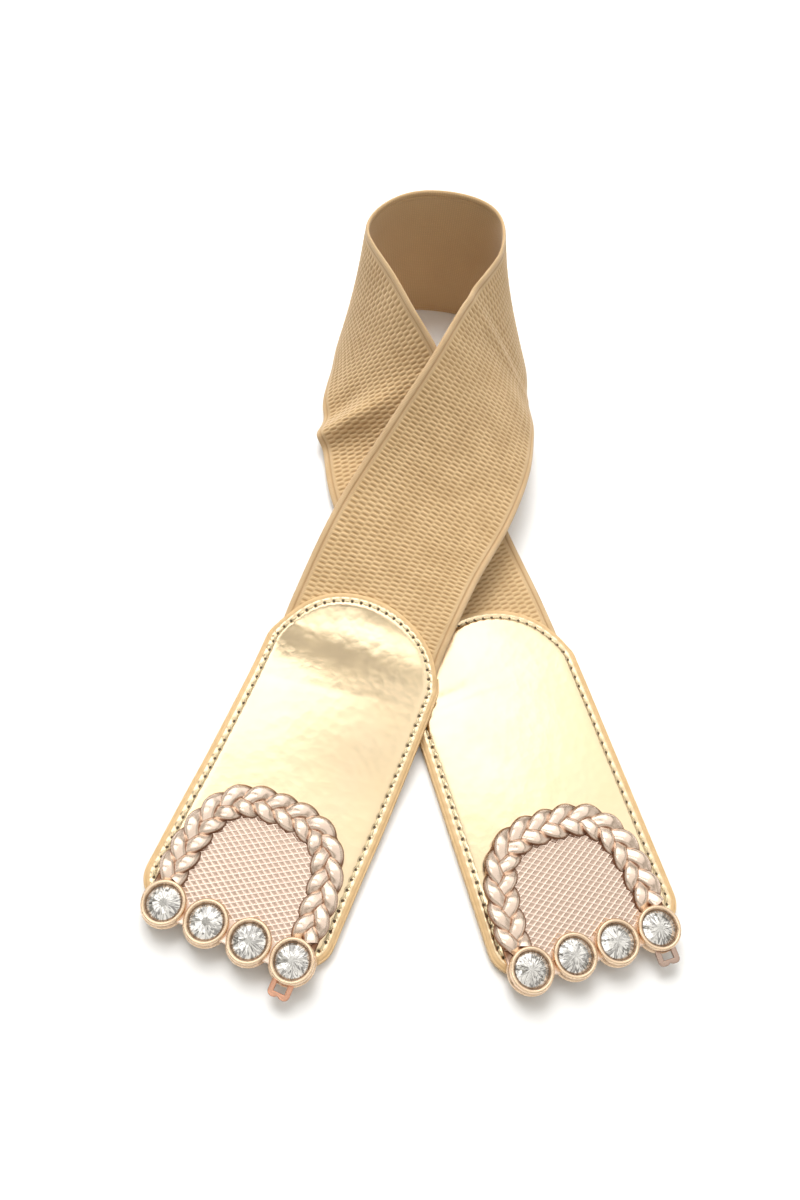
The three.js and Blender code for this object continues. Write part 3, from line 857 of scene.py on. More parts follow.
def clasp_plate():
    """Base plate: the arch's outline with a straight foot, as rings drawn in towards its middle at
    bevelled heights, with the low bar that ties the four bezels together. Its top carries painted shade,
    because it shows only in the shaded gaps between the straps."""
    arch = even_steps(arch_curve(np.linspace(0.0, 1.0, 2000), PLATE_GROW), 150)
    foot = even_steps(np.array([[arch[-1, 0], PLATE_FOOT], [arch[0, 0], PLATE_FOOT]]), 40)
    outline = np.vstack([arch, foot])
    rings = np.array(PLATE_RINGS)
    place = outline[:, None] + (np.array(PLATE_MIDDLE) - outline)[:, None] * rings[None, :, :1]
    points = np.concatenate([place, np.broadcast_to(rings[None, :, 1:], (*place.shape[:2], 1))], -1)
    plate = welded(Shell(points, [grid_quads(len(outline), len(rings), around_rows=True)])).outward()
    reach = STONE_PITCH * 1.5
    path = np.stack([np.linspace(-reach, reach, 30), np.full(30, 0.2), np.full(30, 0.97)], -1)
    whole = joined([plate, swept(path, rounded_section(*WEB_BAR))])
    # painted shade on the plate's top and the bar, which show only in the shaded gaps under the braid
    whole.mask = smoothstep(whole.points[:, 2], 0.3, 0.9) * smoothstep(whole.points[:, 1], 2.0, 5.0)
    return whole


def crosshatch_height(x, y, settings):
    """Diamond lattice of raised lines: the distance to the nearest line of each of the two families
    gives the depth."""
    one = x / settings.hatch_length + y / settings.hatch_height
    two = x / settings.hatch_length - y / settings.hatch_height
    off = np.minimum(np.abs(one - np.round(one)), np.abs(two - np.round(two)))
    return smoothstep(off, 0.03, 0.13)


def crosshatch_field(settings):
    """Field inside the braid: a grid as wide as the arch at each height, sunk between the lattice's
    raised lines."""
    top = ARCH_FOOT + ARCH_HEIGHT - FIELD_INSET
    y = np.linspace(3.0, top, 170)
    rise = np.clip((y - ARCH_FOOT) / (ARCH_HEIGHT - 2.4), 0, 1)
    half = (ARCH_HALF - FIELD_INSET) * (1 - rise**ARCH_POWER) ** (1 / ARCH_POWER)
    across = np.linspace(-1, 1, 180)
    x = ARCH_SHIFT + half[:, None] * across[None]
    rows = y[:, None] + 0 * x
    sunk = crosshatch_height(x, rows, settings)
    face = np.stack([x, rows, FIELD_TOP - settings.hatch_depth * sunk], -1)
    under = np.stack([x[:, ::-1][:, [0, -1]], rows[:, :2], 0 * x[:, :2] + FIELD_FLOOR], -1)
    # the mask paints shade into the floor between the raised lines
    mask = np.concatenate([FIELD_SHADE * sunk, 0 * under[..., 0]], 1)
    return loft(np.concatenate([face, under], 1), None, mask)


def braid_strand(number, settings):
    """One strap of the braid: it swings from edge to edge as a sine and dives under and over the
    others at twice that rate; its section is a crown with thin edges over a flat root."""
    samples = 800
    line = even_steps(arch_curve(np.linspace(0, 1, 2000), 0), samples)
    share = np.linspace(0, 1, BRAID_STEPS)
    places = np.linspace(0.01, 0.99, BRAID_STEPS)
    place = np.stack([np.interp(places, np.linspace(0, 1, samples), column) for column in line.T], -1)
    forward = BeltLine.unit(np.gradient(place, axis=0))
    outwards = np.stack([-forward[:, 1], forward[:, 0]], -1)
    phase = 2 * np.pi * (BRAID_PERIODS * share + number / BRAID_STRANDS)
    narrow = 0.8 + 0.2 * smoothstep(np.minimum(share, 1 - share), 0.0, 0.07)
    swing = settings.braid_swing * narrow * np.sin(phase)
    lift = BRAID_MIDDLE + settings.braid_lift * np.sin(2 * phase - 0.3)
    plan = place + outwards * swing[:, None]
    path = np.concatenate([plan, lift[:, None]], -1)
    way = BeltLine.unit(np.gradient(path, axis=0))
    side = BeltLine.unit(np.cross([0.0, 0.0, 1.0], way))
    crown = np.cross(way, side)
    across = np.linspace(-1, 1, STRAP_POINTS)
    width = settings.strap_width / 2 * (0.8 + 0.2 * narrow)[:, None, None]
    bulge = (settings.strap_crown + STRAP_EDGE) * (1 - np.abs(across) ** STRAP_FLATNESS) - STRAP_EDGE
    top = path[:, None] + across[None, :, None] * width * side[:, None]
    top = top + bulge[None, :, None] * crown[:, None]
    bottom = top[:, [-1, STRAP_POINTS // 2, 0]]
    bottom[..., 2] = BRAID_ROOT
    ring = np.concatenate([top, bottom], 1)
    # painted shade: a strap's low parts, its edges where they meet its neighbours, and its underside go
    # dark
    low = 1 - smoothstep(top[..., 2], *RECESS_HEIGHTS)
    rim = smoothstep(np.abs(across), 0.78, 0.98)
    mask = np.concatenate([np.maximum(low, rim), 1 + 0 * bottom[..., 0]], 1)
    return loft(ring, None, mask)


def bezels():
    """Four cast cups: a wall with a rounded rim, a thin inner ledge for the stone, and a low lip at
    the foot."""
    cup = lathed(BEZEL_PROFILE, 72)
    radius = np.linalg.norm(cup.points[:, :2], axis=1)
    height = cup.points[:, 2]
    # painted shade in the crevice round the stone and in the crease over the foot
    shade_round_stone = bell(radius - 5.56, 0.2) * (height > 3)
    shade_over_foot = bell(height - 1.5, 0.22) * (radius > 6.5)
    cup.mask = np.maximum(shade_round_stone, shade_over_foot)
    return joined([cup.moved(cup.points + [x, 0, 0]) for x in stone_places()])


def eye_loop():
    """Small rectangular eye under the last bezel: a flat bar carried round a rectangle, with a
    notch in its end."""
    x = stone_places()[-1]
    points = []
    for k, (right, up) in enumerate(CORNER_SIGNS):
        end = EYE_HIGH if up > 0 else EYE_LOW
        centre = np.array([right * (EYE_HALF - EYE_CORNER), end - up * EYE_CORNER])
        turn = np.radians(np.linspace(0, 90, 6)) + k * math.pi / 2
        points.append(centre + EYE_CORNER * np.stack([np.cos(turn), np.sin(turn)], -1))
    line = np.vstack(points)
    line = even_steps(np.vstack([line, line[:1]]), 121)[:-1]
    path = np.stack([line[:, 0] + x, line[:, 1], np.full(len(line), EYE_MIDDLE)], -1)
    loop = swept(path, rounded_section(*EYE_BAR), closed=True)
    end = loop.points[:, 1] < EYE_LOW - 0.2
    loop.points[:, 1] += NOTCH_DEPTH * bell(loop.points[:, 0] - x, 0.7) * end
    return loop


def fastenings():
    """Hidden hook under the first bezel, a flat bar carried along a J, and two riveted posts under
    the plate."""
    x = stone_places()[0]
    bend = np.radians(np.linspace(0, 90, 8))
    drop = np.stack([np.full(6, HOOK_STEM), np.linspace(HOOK_TOP, HOOK_LOW, 6)], -1)
    curve = np.stack([HOOK_BEND * (np.cos(bend) - 1), -HOOK_BEND * np.sin(bend)], -1) + drop[-1]
    toe = np.stack([np.linspace(curve[-1, 0] - 0.1, HOOK_TIP, 6), np.full(6, curve[-1, 1])], -1)
    line = np.vstack([drop, curve[1:], toe])
    path = np.stack([np.full(len(line), x), line[:, 0], line[:, 1]], -1)
    hook = swept(path, rounded_section(*HOOK_BAR), up=(1.0, 0.0, 0.0))
    floor = BACK_FACE - FRONT_FACE
    head = [(radius, floor + height) for radius, height in POST_HEAD]
    post = lathed([*head, (POST_HEAD[-1][0], POST_TOP), (0, POST_TOP)], POST_SIDES)
    places = (-POST_SPACING / 2, POST_SPACING / 2)
    return joined([hook, *(post.moved(post.points + [place, POST_PLACE, 0]) for place in places)])


def add_to_clasps(name, shell, material, crease=75):
    """Adds the same shape to both clasp halves; returns the piece of each side."""
    pieces = {}
    for side in TABS:
        placed = on_clasp(side, shell)
        pieces[side] = add_piece(f"{name}_{side}", placed, [material], crease=crease)
    return pieces


def make_clasp_plates(settings):
    material = metal_material("plate metal", settings, settings.metal_colour)
    for side, piece in add_to_clasps("plate", clasp_plate(), material, crease=40).items():
        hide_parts(f"buckle_{side}")


def make_crosshatch(settings):
    material = metal_material("crosshatch metal", settings, settings.field_colour)
    add_to_clasps("crosshatch", crosshatch_field(settings), material)


def make_braids(settings):
    braid = joined([braid_strand(k, settings) for k in range(BRAID_STRANDS)])
    material = metal_material("braid metal", settings, settings.metal_colour)
    add_to_clasps("braid", braid, material, crease=55)


def make_bezels(settings):
    material = metal_material("bezel metal", settings, settings.bezel_colour)
    add_to_clasps("bezels", bezels(), material, crease=70)


def make_eyes(settings):
    loop = eye_loop()
    colours = {"left": settings.left_eye_colour, "right": settings.right_eye_colour}
    for side in TABS:
        material = metal_material(f"eye metal {side}", settings, colours[side])
        add_piece(f"eye_{side}", on_clasp(side, loop), [material], crease=50)


def make_fastenings(settings):
    material = metal_material("fastening metal", settings, settings.right_eye_colour)
    add_to_clasps("fastenings", fastenings(), material, crease=50)


# Stones


def cut_stone(seed):
    """Round cut stone: a small table, sixteen long crown facets split to a staggered girdle, and a
    flat foot. Its mask is the distance from its middle."""
    rng = np.random.default_rng(seed)
    turn = rng.uniform(0, 2 * np.pi)
    points, starts = [[0.0, 0.0, STONE_TOP]], []
    for radius, height, sides, offset in STONE_RINGS:
        angle = turn + 2 * np.pi * (np.arange(sides) + offset) / sides
        jitter = rng.normal(0, STONE_JITTER, sides) if sides == CROWN_SIDES else 0 * angle
        starts.append((len(points), sides))
        points += np.stack([radius * np.cos(angle), radius * np.sin(angle), height + jitter], -1).tolist()
    points.append([0.0, 0.0, STONE_FOOT])
    first, sides = starts[0]
    k = np.arange(sides)
    faces = [np.stack([np.zeros(sides, int), first + k, first + (k + 1) % sides], -1)]
    for (inner, few), (outer, many) in zip(starts[:2], starts[1:3]):
        k = np.arange(few)
        after = inner + (k + 1) % few
        a, b, c = (outer + (2 * k + step) % many for step in range(3))
        faces += [
            np.stack([inner + k, a, b], -1),
            np.stack([inner + k, b, after], -1),
            np.stack([b, c, after], -1),
        ]
    for (upper, count), (lower, _) in zip(starts[2:4], starts[3:5]):
        k = np.arange(count)
        after = (k + 1) % count
        faces += [
            np.stack([upper + k, lower + k, lower + after], -1),
            np.stack([upper + k, lower + after, upper + after], -1),
        ]
    last, sides = starts[-1]
    k = np.arange(sides)
    faces.append(np.stack([np.full(sides, len(points) - 1), last + (k + 1) % sides, last + k], -1))
    stone = Shell(points, faces).outward()
    stone.mask = np.linalg.norm(stone.points[:, :2], axis=1) / STONE_RADIUS
    return stone


def make_stones(settings):
    material = stone_material(settings)
    for number, side in enumerate(TABS):
        stones = []
        for k, x in enumerate(stone_places()):
            stone = cut_stone(31 + 7 * number + k)
            stone.uv = stone.points[:, :2] / 10 + [k + 10 * number, 0.0]
            stones.append(stone.moved(stone.points + [x, 0, 0]))
        placed = on_clasp(side, joined(stones))
        piece = add_piece(f"stones_{side}", placed, [material], smooth=False)
        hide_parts(*[f"stone_{side}_{k + 1}" for k in range(STONE_COUNT)])


# Materials


def rgba(colour, strength=1.0):
    return (*(strength * part for part in colour), 1.0)


class Nodes:
    """Adds shader nodes to a tree by type, with their settings and inputs; a socket given as input
    is linked."""

    def __init__(self, tree):
        self.tree = tree

    def add(self, kind, inputs=None, **settings):
        node = self.tree.nodes.new(kind)
        for name, value in settings.items():
            setattr(node, name, value)
        for name, value in (inputs or {}).items():
            self.fill(node.inputs[name], value)
        return node

    def fill(self, socket, value):
        """Link an input to another node's socket, or set its own constant."""
        if isinstance(value, bpy.types.NodeSocket):
            self.tree.links.new(value, socket)
        else:
            socket.default_value = value

    def surface_place(self):
        """Place across and along the surface, as each shape stored it."""
        return self.add("ShaderNodeUVMap", uv_map="surface").outputs[0]

    def object_place(self):
        return self.add("ShaderNodeTexCoord").outputs["Object"]

    def mask(self):
        """The mask that each shape stored at its points."""
        return self.add("ShaderNodeAttribute", attribute_name="mask").outputs["Fac"]

    def mix(self, share, first, second):
        """Colour between two colours or sockets."""
        return self.add("ShaderNodeMix", {0: share, 6: first, 7: second}, data_type="RGBA").outputs[2]

    def math(self, operation, first, second=0.0):
        return self.add("ShaderNodeMath", {0: first, 1: second}, operation=operation).outputs[0]

    def spread(self, value, low, high, new_low=0.0, new_high=1.0):
        """A value's range mapped onto another, clamped."""
        inputs = {0: value, 1: low, 2: high, 3: new_low, 4: new_high}
        return self.add("ShaderNodeMapRange", inputs).outputs[0]

    def noise(self, place, scale, detail):
        inputs = {"Vector": place, "Scale": scale, "Detail": detail}
        return self.add("ShaderNodeTexNoise", inputs).outputs[0]

    def wave(self, place, scale, distortion, direction):
        """Bands that cross one direction, as a value from 0 to 1."""
        inputs = {"Vector": place, "Scale": scale, "Distortion": distortion}
        return self.add("ShaderNodeTexWave", inputs, bands_direction=direction).outputs[1]

    def clouded(self, place, scale, amount, colour, other):
        """The shared cloudy colour: gives the colour and the cloud's value."""
        inputs = {"Vector": place, "Scale": scale, "Amount": amount, "Colour": colour, "Other": other}
        return self.add("ShaderNodeGroup", inputs, node_tree=mottle_group()).outputs

    def grain(self, place, scale):
        inputs = {"Vector": place, "Scale": scale}
        return self.add("ShaderNodeGroup", inputs, node_tree=grain_group()).outputs[0]

    def bump(self, height, strength, distance):
        inputs = {"Height": height, "Strength": strength, "Distance": distance}
        return self.add("ShaderNodeBump", inputs).outputs[0]

    def finish(self, inputs):
        """The Principled shader that the material ends in, with its inputs."""
        shader = self.add("ShaderNodeBsdfPrincipled", inputs)
        self.add("ShaderNodeOutputMaterial", {"Surface": shader.outputs[0]})


def new_material(name):
    """An empty node material and its nodes helper."""
    material = bpy.data.materials.new(name)
    material.use_nodes = True
    material.node_tree.nodes.clear()
    return material, Nodes(material.node_tree)


def new_group(name, inputs, outputs):
    """A shader node group with float, colour and vector sockets; returns it, its nodes helper, and
    its ends."""
    kinds = {"float": "NodeSocketFloat", "colour": "NodeSocketColor", "vector": "NodeSocketVector"}
    tree = bpy.data.node_groups.new(name, "ShaderNodeTree")
    for way, sockets in (("INPUT", inputs), ("OUTPUT", outputs)):
        for socket, kind in sockets.items():
            tree.interface.new_socket(socket, in_out=way, socket_type=kinds[kind])
    nodes = Nodes(tree)
    return tree, nodes, nodes.add("NodeGroupInput").outputs, nodes.add("NodeGroupOutput").inputs


def mottle_group():
    """Cloudy colour: noise at one scale moves a colour towards a second one by a given amount."""
    found = bpy.data.node_groups.get("Mottle")
    if found:
        return found
    tree, nodes, given, ends = new_group(
        "Mottle",
        {"Vector": "vector", "Scale": "float", "Amount": "float", "Colour": "colour", "Other": "colour"},
        {"Colour": "colour", "Cloud": "float"},
    )
    cloud = nodes.spread(nodes.noise(given["Vector"], given["Scale"], 3.0), 0.35, 0.68)
    share = nodes.math("MULTIPLY", cloud, given["Amount"])
    nodes.fill(ends["Colour"], nodes.mix(share, given["Colour"], given["Other"]))
    nodes.fill(ends["Cloud"], cloud)
    return tree


def grain_group():
    """Fine leather-like grain: small cells with soft noise over them, as a height."""
    found = bpy.data.node_groups.get("Grain")
    if found:
        return found
    sockets = {"Vector": "vector", "Scale": "float"}
    tree, nodes, given, ends = new_group("Grain", sockets, {"Height": "float"})
    cells = nodes.add("ShaderNodeTexVoronoi", {"Vector": given["Vector"], "Scale": given["Scale"]})
    cells = nodes.math("MULTIPLY", cells.outputs[0], 0.6)
    soft = nodes.noise(given["Vector"], nodes.math("MULTIPLY", given["Scale"], 0.6), 4.0)
    nodes.fill(ends["Height"], nodes.math("ADD", cells, soft))
    return tree


def webbing_material(settings):
    """Outer face: light crests, painted shade in the pits and the selvedge's groove by the relief mask, and
    fine yarns twisted over each bump.
    """
    material, nodes = new_material("webbing")
    place = nodes.surface_place()
    across = nodes.add("ShaderNodeSeparateXYZ", {0: place}).outputs[0]
    edge = FIELD_HALF * PLACE_SCALE
    border = nodes.spread(nodes.math("ABSOLUTE", across), edge, edge + 0.003)
    raised = nodes.mix(border, rgba(settings.crest_colour), rgba(settings.selvedge_colour))
    # the pit colour paints shade into the pits, following the relief mask
    body = nodes.mix(nodes.spread(nodes.mask(), 0.1, 0.8), rgba(settings.pit_shade_colour), raised)
    yarn = nodes.math("MULTIPLY", nodes.wave(place, 55.0, 3.0, "Y"), 0.6)
    height = nodes.math("ADD", yarn, nodes.noise(place, 260.0, 2.0))
    nodes.finish({
        "Base Color": nodes.clouded(place, 9.0, 0.3, body, rgba(settings.pit_shade_colour))[0],
        "Normal": nodes.bump(height, 0.35, 0.0002),
        "Roughness": 0.8,
        "Sheen Weight": 0.25,
        "Sheen Roughness": 0.5,
    })
    return material


def lining_material(settings):
    """Inner face: a fine plain weave of two crossed waves, browner than the outer face."""
    material, nodes = new_material("webbing lining")
    place = nodes.surface_place()
    weave = nodes.math("MULTIPLY", nodes.wave(place, 38.0, 0.6, "X"), nodes.wave(place, 34.0, 0.8, "Y"))
    body = nodes.mix(weave, rgba(settings.lining_colour, 0.82), rgba(settings.lining_colour))
    nodes.finish({
        "Base Color": nodes.clouded(place, 6.0, 0.35, body, rgba(settings.lining_colour, 0.8))[0],
        "Normal": nodes.bump(weave, 0.5, 0.0002),
        "Roughness": 0.85,
        "Sheen Weight": 0.2,
    })
    return material


def gold_material(settings):
    """Mirror-bright gold faux leather: fine grain, faint clouds, and painted shadow in the thread holes by
    the mask.
    """
    material, nodes = new_material("gold leather")
    place = nodes.surface_place()
    hole = nodes.mask()
    colour, cloud = nodes.clouded(place, 5.0, 0.5, rgba(settings.gold_colour), rgba(settings.gold_shade))
    slow = nodes.math("MULTIPLY", nodes.noise(place, 1.2, 1.0), 0.35)
    nodes.finish({
        # painted shadow in the thread holes, by the mask
        "Base Color": nodes.mix(nodes.spread(hole, 0.2, 0.55), colour, rgba(settings.hole_shadow_colour)),
        "Metallic": nodes.spread(hole, 0.3, 0.8, 1.0, 0.2),
        "Roughness": nodes.spread(cloud, 0.0, 1.0, 0.17, 0.23),
        "Normal": nodes.bump(nodes.math("ADD", slow, nodes.grain(place, 26.0)), 0.3, 0.0002),
    })
    return material


def edge_material(settings):
    """Painted leather edge: satin tan with small unevenness."""
    found = bpy.data.materials.get("edge paint")
    if found:
        return found
    material, nodes = new_material("edge paint")
    place = nodes.object_place()
    colour, cloud = nodes.clouded(place, 220.0, 0.5, rgba(settings.edge_colour), rgba(settings.edge_shade))
    nodes.finish({"Base Color": colour, "Normal": nodes.bump(cloud, 0.2, 0.0003), "Roughness": 0.45})
    return material


def backing_material(settings):
    """Matt tan backing leather with grain."""
    material, nodes = new_material("backing leather")
    place = nodes.surface_place()
    colour, _ = nodes.clouded(place, 7.0, 0.5, rgba(settings.backing_colour), rgba(settings.edge_shade))
    relief = nodes.bump(nodes.grain(place, 16.0), 0.4, 0.0003)
    nodes.finish({"Base Color": colour, "Normal": relief, "Roughness": 0.62})
    return material


def thread_material(settings):
    """Gold sewing thread with a twist."""
    material, nodes = new_material("thread")
    twist = nodes.wave(nodes.object_place(), 900.0, 1.0, "DIAGONAL")
    nodes.finish({
        "Base Color": nodes.mix(twist, rgba(settings.thread_colour, 0.7), rgba(settings.thread_colour)),
        "Normal": nodes.bump(twist, 0.4, 0.0001),
        "Roughness": 0.5,
        "Metallic": 0.2,
    })
    return material


def metal_material(name, settings, colour):
    """Rose-plated casting: polished, with painted shade in its recesses and faint unevenness."""
    material, nodes = new_material(name)
    place = nodes.object_place()
    # the recess colour is painted shade, laid by each shape's mask
    shade = [part * share for part, share in zip(colour, settings.recess_shade)]
    body = nodes.clouded(place, 160.0, 0.25, rgba(colour), rgba(colour, 0.88))[0]
    wear = nodes.noise(place, 420.0, 3.0)
    nodes.finish({
        "Base Color": nodes.mix(nodes.mask(), body, rgba(shade)),
        "Roughness": nodes.spread(wear, 0.3, 0.7, 0.2, 0.3),
        "Normal": nodes.bump(wear, 0.06, 0.0002),
        "Metallic": 1.0,
    })
    return material


def stone_material(settings):
    """Foiled clear glass: painted bright and dark reflections, as shards that run out from the middle of
    each stone, under a clear coat."""
    material, nodes = new_material("cut stone")
    parts = nodes.add("ShaderNodeSeparateXYZ", {0: nodes.surface_place()}).outputs
    number = nodes.math("FLOOR", nodes.math("ADD", parts[0], 0.5))
    angle = nodes.math("ARCTAN2", parts[1], nodes.math("SUBTRACT", parts[0], number))
    circle = {0: nodes.math("COSINE", angle), 1: nodes.math("SINE", angle), 2: number}
    spokes = nodes.add("ShaderNodeCombineXYZ", circle).outputs[0]
    radius = nodes.mask()
    shards = nodes.add("ShaderNodeTexVoronoi", {"Vector": spokes, "Scale": 3.6}).outputs[0]
    ring = nodes.math("ADD", nodes.math("MULTIPLY", radius, 2.2), nodes.math("MULTIPLY", shards, 3.0))
    inputs = {"Vector": spokes, "W": ring, "Scale": 3.2}
    band = nodes.add("ShaderNodeTexVoronoi", inputs, voronoi_dimensions="4D").outputs[1]
    tone = nodes.add("ShaderNodeSeparateXYZ", {0: band}).outputs
    # painted reflections: the ramp runs from the dark reflection colour to the bright one
    ramp = nodes.add("ShaderNodeValToRGB", {0: tone[0]})
    dark, light = ramp.color_ramp.elements
    dark.position, dark.color = 0.15, rgba(settings.stone_dark_reflection)
    light.position, light.color = 0.8, rgba(settings.stone_bright_reflection)
    # painted reflection: the middle of each stone leans to a dimmer copy of the bright colour
    centre = nodes.spread(radius, 0.05, 0.4, 0.6, 0.0)
    nodes.finish({
        "Base Color": nodes.mix(centre, ramp.outputs[0], rgba(settings.stone_bright_reflection, 0.6)),
        "Metallic": nodes.spread(tone[1], 0.0, 1.0, 0.35, 0.9),
        "Roughness": 0.08,
        "Coat Weight": 0.6,
        "Coat Roughness": 0.02,
    })
    return material


def floor_material(settings):
    """Plain pale floor."""
    material, nodes = new_material("floor")
    nodes.finish({"Base Color": rgba(settings.floor_colour), "Roughness": 0.9, "Specular IOR Level": 0.1})
    return material


# Stage

CAMERA_PLACE = (-22.8, -170.3, 321.0)
CAMERA_TILT = 62.6  # degrees down from the horizon
CAMERA_ROLL = 9.9
CAMERA_LENS = 28.5
CAMERA_SENSOR = 36.0
FLOOR_HALF = 3000.0
CEILING = 1.2  # height of the softboxes, in metres as all lights are
WALL_MIDDLE = 0.5
WALL_SIZE = (2.4, 0.9)
KEY_PLACE = (-0.3, 0.6, 1.0)
KEY_SIZE = (0.7, 0.7)


def make_camera():
    tilt, roll = math.radians(CAMERA_TILT), math.radians(CAMERA_ROLL)
    ahead = Vector((0, math.cos(tilt), -math.sin(tilt)))
    up = Vector((0, math.sin(tilt), math.cos(tilt)))
    right = Vector((1, 0, 0))
    x = right * math.cos(roll) + up * math.sin(roll)
    y = up * math.cos(roll) - right * math.sin(roll)
    turn = Matrix((x, y, -ahead)).transposed()
    data = bpy.data.cameras.new("camera")
    data.lens = CAMERA_LENS
    data.sensor_width = CAMERA_SENSOR
    data.clip_start = 0.01
    camera = bpy.data.objects.new("camera", data)
    camera.matrix_world = Matrix.Translation(Vector(CAMERA_PLACE) * MM) @ turn.to_4x4()
    bpy.context.scene.collection.objects.link(camera)
    bpy.context.scene.camera = camera


def make_softbox(name, place, aim, size, radiance, in_reflections=True, on_cloth=True):
    """Rectangular area light; its power follows from its radiance, pi times radiance times area."""
    data = bpy.data.lights.new(name, "AREA")
    data.shape = "RECTANGLE"
    data.size, data.size_y = size
    data.energy = math.pi * radiance * size[0] * size[1]
    light = bpy.data.objects.new(name, data)
    light.visible_glossy = in_reflections
    light.visible_diffuse = on_cloth
    way = Vector(aim) - Vector(place)
    turn = way.to_track_quat("-Z", "Y").to_matrix().to_4x4()
    light.matrix_world = Matrix.Translation(Vector(place)) @ turn
    bpy.context.scene.collection.objects.link(light)


def make_stage(settings):
    make_camera()
    corners = np.array([(-1, -1, 0), (1, -1, 0), (1, 1, 0), (-1, 1, 0)]) * FLOOR_HALF * MM
    mesh = bpy.data.meshes.new("floor")
    mesh.from_pydata(corners.tolist(), [], [(0, 1, 2, 3)])
    mesh.materials.append(floor_material(settings))
    floor = bpy.data.objects.new("floor", mesh)
    bpy.context.scene.collection.objects.link(floor)
    # The left tab's fold mirrors the gap left of x -0.2, between y -0.115 and 0.135, as a dark band.
    for name, west, east, near, far, radiance, on_cloth in (
        ("far softbox", -1.3, 0.24, 0.24, 1.6, settings.far_light, True),
        ("left softbox", -1.3, -0.3, 0.135, 0.24, settings.far_light, True),
        ("right softbox", 0.24, 1.3, 0.24, 1.6, settings.right_light, True),
        ("top softbox", -0.3, 1.3, 0.03, 0.24, settings.top_light, True),
        ("low softbox", -0.1, 1.3, -0.15, 0.03, settings.top_light, True),
        ("edge softbox", -0.2, -0.1, -0.15, 0.03, settings.top_light, True),
        ("near softbox", -1.3, -0.2, -0.6, -0.115, settings.near_light, False),
        ("back softbox", -0.2, 1.3, -1.3, -0.15, settings.back_light, True),
        ("left back softbox", -1.3, -0.2, -1.3, -0.6, settings.back_light, False),
    ):
        place = ((west + east) / 2, (near + far) / 2)
        size = (east - west, far - near)
        make_softbox(name, (*place, CEILING), (*place, 0), size, radiance, on_cloth=on_cloth)
    for name, x, y in (
        ("left wall", -1.5, 0),
        ("right wall", 1.5, 0),
        ("near wall", 0, -1.5),
        ("far wall", 0, 1.8),
    ):
        aim = (0, 0, WALL_MIDDLE)
        make_softbox(name, (x, y, WALL_MIDDLE), aim, WALL_SIZE, settings.wall_light, on_cloth=False)
    make_softbox("key light", KEY_PLACE, (0, 0, 0), KEY_SIZE, settings.key_light, in_reflections=False)
    world = bpy.data.worlds.new("studio")
    world.use_nodes = True
    background = world.node_tree.nodes["Background"]
    background.inputs[0].default_value = rgba(settings.fill_colour)
    background.inputs[1].default_value = settings.fill_light
    bpy.context.scene.world = world
    bpy.context.scene.view_settings.view_transform = "Standard"


# Settings, operators and panel


def length_setting(name, description, value):
    return bpy.props.FloatProperty(name=name, description=description, default=value, min=0.0)


def colour_setting(name, description, value):
    return bpy.props.FloatVectorProperty(
        name=name, description=description, default=value, subtype="COLOR", size=3, min=0.0, max=1.0
    )


class BeltWebbingSettings(bpy.types.PropertyGroup):
    bump_pitch: length_setting("Bump pitch", "Distance between bumps along the belt, in millimetres", 1.78)
    bump_depth: length_setting("Bump depth", "Depth of the pits between bumps, in millimetres", 0.6)
    crest_colour: colour_setting("Crest", "Colour of the bumps", (0.65, 0.46, 0.25))
    # painted shade: the colour laid into the pits between the bumps
    pit_shade_colour: colour_setting("Pit", "Colour between the bumps", (0.37, 0.22, 0.085))
    selvedge_colour: colour_setting("Selvedge", "Colour of the smooth edges", (0.57, 0.4, 0.225))
    lining_colour: colour_setting("Lining", "Colour of the inner face", (0.72, 0.48, 0.25))


class BeltTabSettings(bpy.types.PropertyGroup):
    stitch_pitch: length_setting("Stitch pitch", "Distance between thread holes, in millimetres", 3.7)
    thread_width: length_setting("Thread width", "Thickness of the sewing thread, in millimetres", 0.8)
    gold_colour: colour_setting("Gold", "Colour of the front leather", (0.87, 0.7, 0.47))
    gold_shade: colour_setting("Gold shade", "Cloudy second tone of the front leather", (0.84, 0.65, 0.4))
    # painted shadow: the near-black colour laid into the thread holes
    hole_shadow_colour: colour_setting("Holes", "Colour in the thread holes", (0.09, 0.06, 0.03))
    edge_colour: colour_setting("Edge", "Colour of the painted edge", (0.66, 0.45, 0.23))
    edge_shade: colour_setting("Edge shade", "Second tone of the painted edge", (0.55, 0.35, 0.15))
    backing_colour: colour_setting("Backing", "Colour of the backing leather", (0.6, 0.37, 0.16))
    thread_colour: colour_setting("Thread", "Colour of the sewing thread", (0.85, 0.72, 0.45))


